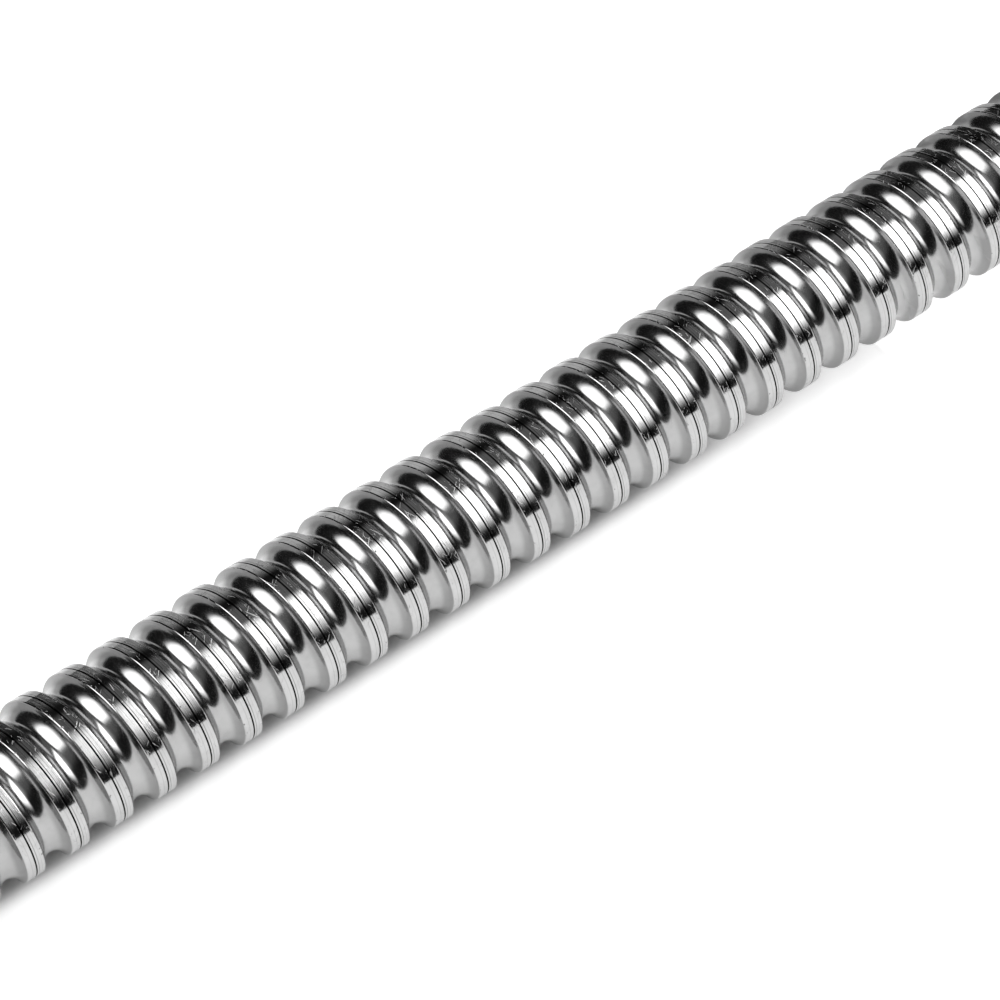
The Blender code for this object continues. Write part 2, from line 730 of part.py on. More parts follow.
def ball_cage(name, bore_diameter, low, balls, axis):
    """A bearing's balls with the cage that spaces them."""
    centre = (bore_diameter + BEARING_SECTION) / 2
    middle = low + BEARING_WIDTH / 2
    profile = [
        (centre + CAGE_THICKNESS / 2, middle + CAGE_WIDTH / 2),
        (centre + CAGE_THICKNESS / 2, middle - CAGE_WIDTH / 2),
        (centre - CAGE_THICKNESS / 2, middle - CAGE_WIDTH / 2),
        (centre - CAGE_THICKNESS / 2, middle + CAGE_WIDTH / 2),
    ]
    cage = add(name, profile_mesh(name, profile, closed=True), PARTS, CAGE, axis)
    spin(cage, 2 * balls)
    shape = bmesh.new()
    for i in range(balls):
        angle = math.tau * (i + 0.5) / balls
        bmesh.ops.create_uvsphere(
            shape,
            u_segments=CAGE_BALL_SEGMENTS,
            v_segments=CAGE_BALL_RINGS,
            radius=BEARING_BALL_RADIUS,
            matrix=Matrix.Translation((centre * math.cos(angle), centre * math.sin(angle), middle)),
        )
    mesh = bpy.data.meshes.new(f"{name}_balls")
    shape.to_mesh(mesh)
    shape.free()
    cut(cage, cutter_object(f"{name}_balls", mesh), "UNION")
    return cage


def shield(name, bore_diameter, low, high_side):
    """One of the two thin covers of the free-end bearing, held in the outer ring."""
    centre = (bore_diameter + BEARING_SECTION) / 2
    base = low + SHIELD_INSET
    if high_side:
        base = low + BEARING_WIDTH - SHIELD_INSET - SHIELD_THICKNESS
    outer = centre + RACE_SHOULDER_GAP + SHIELD_SEAT_STEP - SEAT_GAP
    inner = flats_on(centre - RACE_SHOULDER_GAP + SEAT_GAP)
    top = base + SHIELD_THICKNESS
    profile = [(outer, top), (outer, base), (inner, base), (inner, top)]
    disc = add(name, profile_mesh(name, profile, closed=True), PARTS, SHEET, FIXED_AXIS)
    spin(disc)
    return disc


def collar(name, low, length):
    """A spacer on the fixed seat."""
    bore = flats_on(FIXED_SEAT_DIAMETER / 2 + SEAT_GAP)
    outer = FIXED_SEAT_DIAMETER / 2 + COLLAR_WALL
    profile = [
        (outer - RING_CHAMFER, low + length),
        (outer, low + length - RING_CHAMFER),
        (outer, low + RING_CHAMFER),
        (outer - RING_CHAMFER, low),
        (bore, low),
        (bore, low + length),
    ]
    ring = add(name, profile_mesh(name, profile, closed=True), PARTS, GROUND, SCREW_AXIS)
    spin(ring)
    return ring


def lock_nut(high):
    """The hexagonal lock nut with a radial thread for its set screw."""
    low = high - LOCK_NUT_LENGTH
    flat = LOCK_NUT_FLATS / 2
    clear_of_corners = flats_on(flat, 6) + LOCK_NUT_CHAMFER
    bore = flats_on(FIXED_SEAT_DIAMETER / 2 + SEAT_GAP)
    mesh = hexagon("lock_nut", LOCK_NUT_FLATS, low, high, math.pi / 6)
    nut = add("lock_nut", mesh, PARTS, BLACKENED, SCREW_AXIS)
    rim = [
        (flat, high),
        (clear_of_corners, high - LOCK_NUT_CHAMFER),
        (clear_of_corners, low + LOCK_NUT_CHAMFER),
        (flat, low),
        (bore, low),
        (bore, high),
    ]
    turned = cutter_object("lock_nut_turning", profile_mesh("lock_nut_turning", rim, closed=True))
    spin(turned)
    cut(nut, turned, "INTERSECT")
    place = across(0, (low + high) / 2)
    hole = rod_mesh("set_screw_bore", flats_on(SET_SCREW_DIAMETER / 2, SMALL_STEPS), 0, LOCK_NUT_FLATS)
    cut(nut, cutter_object("set_screw_bore", placed(hole, place)))
    radius = SET_SCREW_DIAMETER / 2 - SEAT_GAP
    pad_low = FIXED_SEAT_DIAMETER / 2 + SEAT_GAP
    pad = rod_mesh("lock_nut_pad", radius, pad_low, pad_low + PAD_LENGTH)
    add("lock_nut_pad", placed(pad, place), PARTS, BRASS, SCREW_AXIS)
    screw_low = pad_low + PAD_LENGTH + SEAT_GAP
    screw_high = flat - SET_SCREW_SINK
    screw = rod_mesh("lock_nut_set_screw", radius, screw_low, screw_high)
    screw = add("lock_nut_set_screw", placed(screw, place), PARTS, BLACKENED, SCREW_AXIS)
    bottom = screw_high - SET_SCREW_SOCKET_DEPTH
    socket = hexagon("set_screw_socket", SET_SCREW_SOCKET, bottom, LOCK_NUT_FLATS)
    cut(screw, cutter_object("set_screw_socket", placed(socket, place)))


def around(radius, first, last, steps, middle=(0.0, 0.0)):
    """Points along an arc between two angles, both ends among them."""
    angles = [first + (last - first) * i / steps for i in range(steps + 1)]
    return [(middle[0] + radius * math.cos(a), middle[1] + radius * math.sin(a)) for a in angles]


def circlip():
    """The open ring in the free end's groove, with an eye in each of its two lugs."""
    low = circlip_groove()[0] + SEAT_GAP
    inner = FREE_SEAT_DIAMETER / 2 - CIRCLIP_GROOVE_DEPTH + SEAT_GAP
    outer = inner + CIRCLIP_WIDTH
    tip = inner + CIRCLIP_LUG_LENGTH
    first = CIRCLIP_GAP_ANGLE / 2
    lug = CIRCLIP_LUG_WIDTH / outer
    last = math.tau - first
    outlines = [
        around(tip, first, first + lug, LUG_STEPS)
        + around(outer, first + lug, last - lug, TURN_STEPS)
        + around(tip, last - lug, last, LUG_STEPS)
        + around(inner, last, first, TURN_STEPS)
    ]
    eye_at = tip - CIRCLIP_EYE_DIAMETER
    for angle in (first + lug / 2, last - lug / 2):
        middle = (eye_at * math.cos(angle), eye_at * math.sin(angle))
        outlines.append(around(CIRCLIP_EYE_DIAMETER / 2, 0, math.tau, EYE_STEPS, middle)[:-1])
    line = bpy.data.curves.new("circlip", "CURVE")
    line.dimensions = "2D"
    line.fill_mode = "BOTH"
    line.extrude = CIRCLIP_THICKNESS / 2
    for points in outlines:
        spline = line.splines.new("POLY")
        spline.points.add(len(points) - 1)
        spline.use_cyclic_u = True
        for knot, (x, y) in zip(spline.points, points):
            knot.co = (x, y, 0, 1)
    middle = low + CIRCLIP_THICKNESS / 2
    return add("circlip", tube_mesh("circlip", line), PARTS, SPRING, SCREW_AXIS, at=middle)


def axis_empty(name, home):
    """An empty on the screw's axis whose local Z lies along world X."""
    made = bpy.data.objects.new(name, None)
    home.objects.link(made)
    made.rotation_euler = (0, math.pi / 2, 0)
    return made


fresh_scene()
PARTS = collection("ball_screw")
CUTTERS = collection("cutters")

POLISHED = metal("rolled_and_polished_bearing_steel", (0.80, 0.80, 0.79), 0.12)
GROUND = metal("ground_bearing_steel", (0.62, 0.62, 0.62), 0.25)
HARDENED = metal("polished_ball_steel", (0.82, 0.82, 0.82), 0.08)
SINTERED = metal("sintered_steel", (0.36, 0.35, 0.34), 0.5)
BLACKENED = metal("blackened_steel", (0.03, 0.03, 0.035), 0.4)
SPRING = metal("phosphated_spring_steel", (0.08, 0.08, 0.085), 0.45)
SHEET = metal("pressed_steel_sheet", (0.55, 0.55, 0.54), 0.3)
BRASS = metal("turned_brass", (0.72, 0.52, 0.22), 0.3)
CAGE = metal("polyamide_cage", (0.50, 0.44, 0.32), 0.5, 0.0)
PLASTIC = metal("wiper_plastic", (0.02, 0.02, 0.02), 0.5, 0.0)

FIXED_AXIS = axis_empty("bearing_seats", PARTS)
SCREW_AXIS = axis_empty("screw_axis", PARTS)
NUT_AXIS = axis_empty("nut_carriage", PARTS)
CUTTER_AXIS = axis_empty("cutter_axis", CUTTERS)

screw_shaft()

nut_body()
lube_plug()
for circuit in range(CIRCUITS):
    ball_circuit(circuit)
    return_deflector(circuit)
wiper("wiper_flange_end", NUT_START)
wiper("wiper_body_end", NUT_END - WIPER_THICKNESS)

station = THREAD_START - SEAT_GAP - INNER_COLLAR_LENGTH
collar("inner_collar", station, INNER_COLLAR_LENGTH)
for number, relieved in ((1, 1), (2, -1)):
    station -= SEAT_GAP + BEARING_WIDTH
    outer_ring(f"fixed_bearing_{number}_outer_ring", FIXED_SEAT_DIAMETER, station, relieved=relieved)
    inner_ring(f"fixed_bearing_{number}_inner_ring", FIXED_SEAT_DIAMETER, station)
    cage_axis = axis_empty(f"fixed_bearing_{number}_cage_axis", PARTS)
    ball_cage(f"fixed_bearing_{number}_ball_cage", FIXED_SEAT_DIAMETER, station, FIXED_BALLS, cage_axis)
station -= SEAT_GAP + OUTER_COLLAR_LENGTH
collar("outer_collar", station, OUTER_COLLAR_LENGTH)
lock_nut(station - SEAT_GAP)

station = THREAD_END + SEAT_GAP
outer_ring("free_bearing_outer_ring", FREE_SEAT_DIAMETER, station, shielded=True)
inner_ring("free_bearing_inner_ring", FREE_SEAT_DIAMETER, station)
cage_axis = axis_empty("free_bearing_cage_axis", PARTS)
ball_cage("free_bearing_ball_cage", FREE_SEAT_DIAMETER, station, FREE_BALLS, cage_axis)
shield("free_bearing_inner_shield", FREE_SEAT_DIAMETER, station, high_side=False)
shield("free_bearing_outer_shield", FREE_SEAT_DIAMETER, station, high_side=True)
circlip()

for piece in PARTS.objects:
    if piece.type == "MESH":
        smooth(piece)
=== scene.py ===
"""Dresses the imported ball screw: fine pieces over its solids, their finishes, the studio and the camera.

Lengths are given in millimetres and turned to metres by MM. The screw lies along X, and a station is a
place on X. In the shapes an angle round the screw is counted from straight down towards +Y.
"""
from math import acos, asin, ceil, cos, floor, hypot, pi, radians, sin, sqrt, tau

import bmesh
import bpy
from mathutils import Matrix, Vector


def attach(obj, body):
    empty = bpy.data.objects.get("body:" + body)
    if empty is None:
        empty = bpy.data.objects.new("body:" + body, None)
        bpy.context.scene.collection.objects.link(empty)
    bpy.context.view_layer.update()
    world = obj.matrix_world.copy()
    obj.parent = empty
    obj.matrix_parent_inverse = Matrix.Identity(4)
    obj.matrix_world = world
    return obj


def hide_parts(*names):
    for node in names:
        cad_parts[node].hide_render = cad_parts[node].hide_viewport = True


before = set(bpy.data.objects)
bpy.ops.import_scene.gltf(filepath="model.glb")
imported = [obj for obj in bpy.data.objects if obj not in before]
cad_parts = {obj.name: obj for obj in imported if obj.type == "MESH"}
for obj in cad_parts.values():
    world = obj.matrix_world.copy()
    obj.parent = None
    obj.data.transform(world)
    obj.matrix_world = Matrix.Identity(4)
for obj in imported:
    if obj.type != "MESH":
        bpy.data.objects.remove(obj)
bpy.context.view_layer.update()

MM = 0.001
MATH = "ShaderNodeMath"

# Shaft
THREAD_START, THREAD_END = -86.0, 128.0
LEAD = 5.0
LAND_RADIUS = 7.5
BALL_RADIUS = 1.5875
BALL_CIRCLE = 8.0
TRACK_PLAY = 0.05
EDGE_ROUND = 0.12
ARCH_RADIUS, ARCH_OFFSET = 1.7, 0.1
SEAM_WIDTH = 0.17
SEAM_DEPTH = 0.1
THREAD_CHAMFER = 0.8
DRIVE_END, FREE_END = -140.0, 140.0
LOCK_START, SEAT_START = -125.0, -111.0
DRIVE_RADIUS, FIXED_RADIUS, FREE_RADIUS = 5.0, 6.0, 5.0
RELIEF_WIDTH, RELIEF_DEPTH = 1.2, 0.5
END_CHAMFER = 0.6
CENTRE_HOLE_RADIUS, CENTRE_HOLE_DEPTH = 1.5, 2.2
CIRCLIP_GROOVE = (136.25, 137.75)
CIRCLIP_GROOVE_DEPTH = 0.4

# Threaded stretch for the lock nut
LOCK_LEAD = 1.0
LOCK_RADIUS, LOCK_ROOT = 5.98, 5.36

# Nut
NUT_START, NUT_END = -83.0, -40.967
FLANGE_END = -73.0
NUT_RADIUS, FLANGE_RADIUS, FLANGE_FLAT = 14.0, 24.0, 20.0
NUT_BORE = 8.1
WIPER_SEAT, WIPER_THICKNESS = 10.3, 3.2
BOLT_CIRCLE, BOLT_HOLE = 19.0, 2.75
LUBE_STATION = -78.0
CIRCUITS = 3
CIRCUIT_STEP = radians(480)
FIRST_RETURN = radians(1314)
RETURN_HALF_ANGLE = radians(28)
RETURN_RAMP = 0.4
RETURN_RADIUS = LAND_RADIUS + BALL_RADIUS + 0.25
INSERT_RADIUS, INSERT_DROP = 5.88, 0.4
PAST_NUT = NUT_RADIUS + 2.0
PLUG_LENGTH, PLUG_DROP = 4.5, 0.75

# Bearings
FIXED_BEARINGS = ((1, -99.5, 1), (2, -107.75, -1))
FREE_BEARING = 128.25
BEARING_WIDTH, BEARING_SECTION = 8.0, 8.0
BEARING_BALL = 2.381
RACE_RADIUS = BEARING_BALL + 0.06
SHOULDER = 1.35

# Lock nut and circlip
LOCK_NUT = (-120.25, -112.25)
LOCK_NUT_FLATS = 19.0
SET_SCREW_DROP = 0.3
CIRCLIP = (136.5, 137.5)

# Fineness
TURN_STEPS = 60
ARC_STEPS = 16
LATHE_STEPS = 96
BALL_DIVISIONS = 3
PATH_STEPS = 240
WELD = 0.002


def linear(hex_colour):
    """An sRGB hex colour as the linear values that a shader takes."""
    shares = [int(hex_colour[i : i + 2], 16) / 255 for i in (0, 2, 4)]
    return (*[s / 12.92 if s <= 0.04045 else ((s + 0.055) / 1.055) ** 2.4 for s in shares], 1.0)


def add(tree, kind, inputs=None, **settings):
    """Adds one node with its settings, and its inputs set to values or linked.

    A node given as an input stands for the first output that it shows.
    """
    made = tree.nodes.new(kind)
    for name, value in settings.items():
        setattr(made, name, value)
    for key, value in (inputs or {}).items():
        if isinstance(value, bpy.types.Node):
            value = next(out for out in value.outputs if out.enabled)
        if isinstance(value, bpy.types.NodeSocket):
            tree.links.new(value, made.inputs[key])
        else:
            made.inputs[key].default_value = value
    return made


def held(tree, level, *edges):
    """A level kept inside soft edges. Each edge is (value, where the level is gone, where it is whole)."""
    for value, none, full in edges:
        edge = add(tree, "ShaderNodeMapRange", {0: value, 1: none, 2: full}, interpolation_type="SMOOTHSTEP")
        level = add(tree, MATH, {0: edge, 1: level}, operation="MULTIPLY")
    return level


def plain_object(name, mesh):
    """An object at the origin that holds a mesh, a curve or a camera."""
    made = bpy.data.objects.new(name, mesh)
    bpy.context.scene.collection.objects.link(made)
    return made


def loose_points(name, places):
    """Points given in metres, as an object that a tree can read."""
    mesh = bpy.data.meshes.new(name)
    mesh.from_pydata(places, [], [])
    return plain_object(name, mesh)


def open_shape(mesh):
    """A mesh opened for work on its points and faces."""
    shape = bmesh.new()
    shape.from_mesh(mesh)
    return shape


def close_shape(shape, mesh):
    """Ends the work on a shape, and writes it to a mesh."""
    shape.to_mesh(mesh)
    shape.free()


def shape_object(name, shape):
    """Ends the work on a new shape, and makes it an object."""
    mesh = bpy.data.meshes.new(name)
    close_shape(shape, mesh)
    return plain_object(name, mesh)


def settled_mesh(piece):
    """A mesh of its own with all that the modifiers or the curve's settings make of it."""
    graph = bpy.context.evaluated_depsgraph_get()
    mesh = bpy.data.meshes.new_from_object(piece.evaluated_get(graph))
    mesh.name = piece.name
    return mesh


def settle(piece):
    """Works the piece's modifier into its mesh, and leaves no modifier."""
    mesh = settled_mesh(piece)
    piece.modifiers.clear()
    piece.data = mesh


# Camera and stage

def camera():
    """The photograph's view: a long lens, 50 degrees above the table, from the driven end's side."""
    lens = bpy.data.cameras.new("camera")
    lens.lens = 173.6
    lens.sensor_width = 36.0
    lens.clip_start, lens.clip_end = 0.01, 20.0
    made = plain_object("camera", lens)
    middle = Vector((35.3, -0.97, 0.0)) * MM
    back = Vector((-190.6, -232.6, 357.1)) * MM
    made.location = middle + back
    made.rotation_euler = (-back).to_track_quat("-Z", "Y").to_euler()
    bpy.context.scene.camera = made


def studio():
    """The room that the steel mirrors, by direction: two soft boxes above, a dark ceiling and dark walls.

    Only the camera sees its white. The steel of the photograph mirrors a dark room, and the white in it is the
    board's. The angle is 0 level behind the screw, 90 overhead and 180 level in front of it.
    """
    world = bpy.data.worlds.new("studio")
    bpy.context.scene.world = world
    world.use_nodes = True
    tree = world.node_tree
    tree.nodes.clear()
    way = add(tree, "ShaderNodeTexCoord").outputs["Generated"]
    x, y, z = add(tree, "ShaderNodeSeparateXYZ", {0: way}).outputs
    turn = add(tree, MATH, {0: z, 1: y}, operation="ARCTAN2")
    angle = add(tree, MATH, {0: turn}, operation="DEGREES")
    # the long box overhead has round corners, so its right edge bows
    off_middle = add(tree, MATH, {0: angle, 1: 75.0}, operation="SUBTRACT")
    bow = add(tree, MATH, {0: off_middle, 1: off_middle}, operation="MULTIPLY")
    across = add(tree, MATH, {0: bow, 1: 0.0003, 2: x}, operation="MULTIPLY_ADD")
    # the box in front is round, and the camera hides its left part
    aside = add(tree, MATH, {0: x, 1: 0.5}, operation="SUBTRACT")
    aside = add(tree, MATH, {0: aside, 1: 0.0}, operation="MAXIMUM")
    aside = add(tree, MATH, {0: aside, 1: aside}, operation="MULTIPLY")
    upper = add(tree, MATH, {0: aside, 1: -45.0, 2: angle}, operation="MULTIPLY_ADD")
    lower = add(tree, MATH, {0: aside, 1: 45.0, 2: angle}, operation="MULTIPLY_ADD")
    between = (angle, 100, 108), (angle, 146, 128)
    # what is left is nearly black
    total = 0.009
    for level, *edges in (
        (2.9, (angle, 38, 59), (angle, 112, 97), (across, 0.2, 0.03), (x, -0.99, -0.8)),
        (3.5, (upper, 87, 102), (lower, 167, 132), (x, 0.22, 0.5), (x, 1.0, 0.84)),
        # the dim ceiling between the boxes, brighter to the right
        (0.27, *between, (x, -0.3, 0.15)),
        (0.12, *between),
        # two pale strips of wall
        (0.62, (angle, 46, 14), (x, 0.31, 0.36), (x, 0.5, 0.44)),
        (0.13, (angle, 54, 66), (angle, 112, 98), (x, 0.24, 0.32)),
    ):
        total = add(tree, MATH, {0: total, 1: held(tree, level, *edges)}, operation="ADD")
    seen = add(tree, "ShaderNodeLightPath").outputs["Is Camera Ray"]
    level = add(tree, "ShaderNodeMix", {0: seen, 2: total, 3: 1.0})
    light = add(tree, "ShaderNodeBackground", {"Color": (1, 1, 1, 1), "Strength": level})
    add(tree, "ShaderNodeOutputWorld", {"Surface": light})


def table_white():
    """Matt white board. The light falls off towards the back, so its colour is greyed there as painted shade, and
    the steel mirrors a greyer board there.

    It is lifted to the photograph's white, for the camera most, but not under the screw, where the shadow stays.
    """
    made = bpy.data.materials.new("matt_white_board")
    made.use_nodes = True
    tree = made.node_tree
    tree.nodes.clear()
    rays = add(tree, "ShaderNodeLightPath").outputs
    seen = rays["Is Camera Ray"]
    mirrored = add(tree, MATH, {0: rays["Is Glossy Ray"], 1: rays["Is Transmission Ray"]}, operation="MAXIMUM")
    x, y, z = add(tree, "ShaderNodeSeparateXYZ", {0: millimetres(tree)}).outputs
    unseen = add(tree, MATH, {0: seen, 1: -0.52, 2: 0.52}, operation="MULTIPLY_ADD")
    # painted shade: for every ray but the camera's, the board's colour greys towards the back
    painted_falloff_shade = held(tree, unseen, (y, 17, 56))
    white = mixed(tree, painted_falloff_shade, linear("E4E4E4"), linear("000000"))
    matt = {"Base Color": white, "Roughness": 0.7, "Specular IOR Level": 0.2}
    board = add(tree, "ShaderNodeBsdfPrincipled", matt)
    # the lift that the steel mirrors is less towards the back, with the same painted shade
    left = add(tree, MATH, {0: painted_falloff_shade, 1: -0.3, 2: 0.3}, operation="MULTIPLY_ADD")
    left = add(tree, MATH, {0: mirrored, 1: left}, operation="MULTIPLY")
    lift = add(tree, MATH, {0: seen, 1: 0.6, 2: left}, operation="MULTIPLY_ADD")
    # partly painted shadow: under the screw the lift is held back in a strip drawn by place, so the screw's real
    # shadow shows there, and the strip fades out before the board's end
    away = add(tree, MATH, {0: y}, operation="ABSOLUTE")
    under = held(tree, 1.0, (away, 6.0, 3.6), (z, -15, -10), (x, 82, 45))
    outside_painted_shadow = add(tree, MATH, {0: 1.0, 1: under}, operation="SUBTRACT")
    # painted light: the board's sides get less light than its top, so the camera sees a further glow on them
    sides = held(tree, 0.4, (seen, 0, 1), (z, -7.55, -7.6), (z, -24.5, -24.45))
    lift = add(tree, MATH, {0: lift, 1: outside_painted_shadow, 2: sides}, operation="MULTIPLY_ADD")
    glow = add(tree, "ShaderNodeEmission", {"Strength": lift})
    both = add(tree, "ShaderNodeAddShader", {0: board, 1: glow})
    add(tree, "ShaderNodeOutputMaterial", {"Surface": both})
    return made


def block(name, low, high, surface):
    """A plain block of the stage, between two corners."""
    shape = bmesh.new()
    bmesh.ops.create_cube(shape, size=1.0)
    size = [(b - a) * MM for a, b in zip(low, high)]
    middle = Vector([(a + b) / 2 * MM for a, b in zip(low, high)])
    bmesh.ops.transform(shape, matrix=Matrix.Translation(middle) @ Matrix.Diagonal((*size, 1)), verts=shape.verts)
    made = shape_object(name, shape)
    made.data.materials.append(surface)


def plain_picture():
    """No film look: a colour shows as it is written."""
    bpy.context.scene.view_settings.view_transform = "Standard"


def stage():
    """The board that the thread lies on, and the lower floor that leaves room for the nut and the bearings."""
    white = table_white()
    block("board", (-38, -95, -30), (82, 130, -LAND_RADIUS), white)
    block("floor", (-1500, -1500, -60), (1500, 1500, -24.5), white)


# Shapes that follow a rule

def groove_section():
    """One lead of the rolled thread as (station, radius): track, rounded edge, land, seam, land, edge.

    The track is a pointed arch, as it is rolled: two arcs that meet at the bottom.
    """
    # the rounded edge touches the arc from outside and the land from below
    rise = BALL_CIRCLE - LAND_RADIUS
    reach = sqrt((ARCH_RADIUS + EDGE_ROUND) ** 2 - (rise + EDGE_ROUND) ** 2)
    touch = asin(reach / (ARCH_RADIUS + EDGE_ROUND))
    reach -= ARCH_OFFSET
    lowest = asin(ARCH_OFFSET / ARCH_RADIUS)
    half = ARC_STEPS // 2
    right = []
    for i in range(half + 1):
        a = lowest + (touch - lowest) * i / half
        right.append((ARCH_RADIUS * sin(a) - ARCH_OFFSET, BALL_CIRCLE - ARCH_RADIUS * cos(a)))
    points = [(-s, r) for s, r in reversed(right[1:])] + right
    low = LAND_RADIUS - EDGE_ROUND
    for i in (1, 2, 3):
        a = touch * (1 - i / 3)
        points.append((reach - EDGE_ROUND * sin(a), low + EDGE_ROUND * cos(a)))
    # a point close to each rounded edge keeps the land's shading flat
    near = 0.06
    points += [
        (reach + near, LAND_RADIUS),
        ((LEAD - SEAM_WIDTH) / 2, LAND_RADIUS),
        (LEAD / 2 - SEAM_WIDTH / 4, LAND_RADIUS - SEAM_DEPTH),
        (LEAD / 2 + SEAM_WIDTH / 4, LAND_RADIUS - SEAM_DEPTH),
        ((LEAD + SEAM_WIDTH) / 2, LAND_RADIUS),
        (LEAD - reach - near, LAND_RADIUS),
    ]
    for i in (0, 1, 2, 3):
        a = touch * i / 3
        points.append((LEAD - reach + EDGE_ROUND * sin(a), low + EDGE_ROUND * cos(a)))
    return points


def shape_tree(name, **inputs):
    """A tree that gives a shape, with its inputs by name and kind. Returns the tree and what it is given."""
    tree = bpy.data.node_groups.new(name, "GeometryNodeTree")
    tree.interface.new_socket("Geometry", in_out="OUTPUT", socket_type="NodeSocketGeometry")
    for title, kind in inputs.items():
        tree.interface.new_socket(title, in_out="INPUT", socket_type=f"NodeSocket{kind}")
    return tree, add(tree, "NodeGroupInput").outputs


def end_tree(tree, shape, surface):
    """Ends a shape's tree with real geometry only and its material."""
    real = add(tree, "GeometryNodeRealizeInstances", {0: shape})
    faced = add(tree, "GeometryNodeSetMaterial", {0: real, "Material": surface})
    add(tree, "NodeGroupOutput", {0: faced})
    return tree


def thread_tree():
    """Sweeps a section of one lead round the screw's axis, turn after turn."""
    inputs = {"Section": "Object", "Points": "Int", "Turns": "Int", "Steps": "Int", "Lead": "Float"}
    tree, given = shape_tree("rolled_thread", **inputs, Start="Float", Surface="Material")
    rows = add(tree, MATH, {0: given["Turns"], 1: given["Steps"], 2: 1.0}, operation="MULTIPLY_ADD")
    # a square of 1 by 1, with the section's points one way and the steps the other way
    grid = add(tree, "GeometryNodeMeshGrid", {"Vertices X": given["Points"], "Vertices Y": rows})
    place = add(tree, "GeometryNodeInputPosition")
    share = add(tree, "ShaderNodeVectorMath", {0: place, 1: (0.5, 0.5, 0.0)}, operation="ADD")
    u, v, _ = add(tree, "ShaderNodeSeparateXYZ", {0: share}).outputs
    last = add(tree, MATH, {0: given["Points"], 1: 1.0}, operation="SUBTRACT")
    number = add(tree, MATH, {0: u, 1: last}, operation="MULTIPLY")
    number = add(tree, MATH, {0: number}, operation="ROUND")
    drawn = add(tree, "GeometryNodeObjectInfo", {"Object": given["Section"]}).outputs["Geometry"]
    sample = add(tree, "GeometryNodeSampleIndex", {"Geometry": drawn, "Index": number}, data_type="FLOAT_VECTOR")
    tree.links.new(place.outputs[0], sample.inputs["Value"])
    radius, _, along = add(tree, "ShaderNodeSeparateXYZ", {0: sample}).outputs
    turns = add(tree, MATH, {0: v, 1: given["Turns"]}, operation="MULTIPLY")
    angle = add(tree, MATH, {0: turns, 1: tau, 2: -pi / 2}, operation="MULTIPLY_ADD")
    sideways = add(tree, MATH, {0: angle}, operation="COSINE")
    upwards = add(tree, MATH, {0: angle}, operation="SINE")
    station = add(tree, MATH, {0: turns, 1: given["Lead"], 2: given["Start"]}, operation="MULTIPLY_ADD")
    station = add(tree, MATH, {0: station, 1: along}, operation="ADD")
    y = add(tree, MATH, {0: radius, 1: sideways}, operation="MULTIPLY")
    z = add(tree, MATH, {0: radius, 1: upwards}, operation="MULTIPLY")
    point = add(tree, "ShaderNodeCombineXYZ", {0: station, 1: y, 2: z})
    swept = add(tree, "GeometryNodeSetPosition", {"Geometry": grid, "Position": point})
    welded = add(tree, "GeometryNodeMergeByDistance", {"Geometry": swept, "Distance": WELD * MM})
    return end_tree(tree, welded, given["Surface"])


def from_tree(name, tree, values):
    """The mesh that a tree gives for some values, as an object with no modifier left."""
    made = plain_object(name, bpy.data.meshes.new(name))
    run = made.modifiers.new(name, "NODES")
    run.node_group = tree
    for item in tree.interface.items_tree:
        if item.in_out == "INPUT" and item.name in values:
            run[item.identifier] = values[item.name]
    settle(made)
    return made


def face_outwards(shape):
    """Makes the faces agree, and turns them all where the shape came out inside out."""
    bmesh.ops.recalc_face_normals(shape, faces=shape.faces)
    if shape.calc_volume(signed=True) < 0:
        bmesh.ops.reverse_faces(shape, faces=shape.faces)


def swept_thread(name, section, lead, start, turns, surface):
    """A closed bar with the swept section outside and its two ends drawn to points on the axis."""
    drawn = loose_points(f"{name}_section", [(r * MM, 0, s * MM) for s, r in section])
    values = {"Section": drawn, "Points": len(section), "Turns": turns, "Steps": TURN_STEPS}
    values |= {"Lead": lead * MM, "Start": start * MM, "Surface": surface}
    bar = from_tree(name, THREAD, values)
    bpy.data.objects.remove(drawn)
    shape = open_shape(bar.data)
    middle = (start + lead * turns / 2) * MM
    for tip in (start - lead, start + lead * (turns + 2)):
        low_side = tip * MM < middle
        rim = [e for e in shape.edges if e.is_boundary and (e.verts[0].co.x < middle) == low_side]
        made = bmesh.ops.extrude_edge_only(shape, edges=rim)["geom"]
        corners = [g for g in made if isinstance(g, bmesh.types.BMVert)]
        bmesh.ops.pointmerge(shape, verts=corners, merge_co=(tip * MM, 0, 0))
    face_outwards(shape)
    close_shape(shape, bar.data)
    return bar


def lathe(name, profile, steps=LATHE_STEPS):
    """A profile of (station, radius) turned round the screw's axis. It closes on itself or on the axis."""
    shape = bmesh.new()
    rings = []
    angles = [tau * i / steps for i in range(steps)]
    for station, radius in profile:
        if radius < 1e-6:
            rings.append([shape.verts.new((station * MM, 0, 0))] * steps)
        else:
            places = [(station * MM, radius * cos(a) * MM, radius * sin(a) * MM) for a in angles]
            rings.append([shape.verts.new(place) for place in places])
    for one, two in zip(rings, rings[1:] + rings[:1]):
        for i in range(steps):
            j = (i + 1) % steps
            corners = list(dict.fromkeys((one[i], two[i], two[j], one[j])))
            if len(corners) > 2:
                shape.faces.new(corners)
    bmesh.ops.recalc_face_normals(shape, faces=shape.faces)
    return shape_object(name, shape)


def boolean(piece, other, operation="DIFFERENCE"):
    """Cuts or joins at once, and throws the other object away."""
    tool = piece.modifiers.new("cut", "BOOLEAN")
    tool.operation = operation
    tool.solver = "MANIFOLD"
    tool.object = other
    settle(piece)
    bpy.data.objects.remove(other)
    return piece


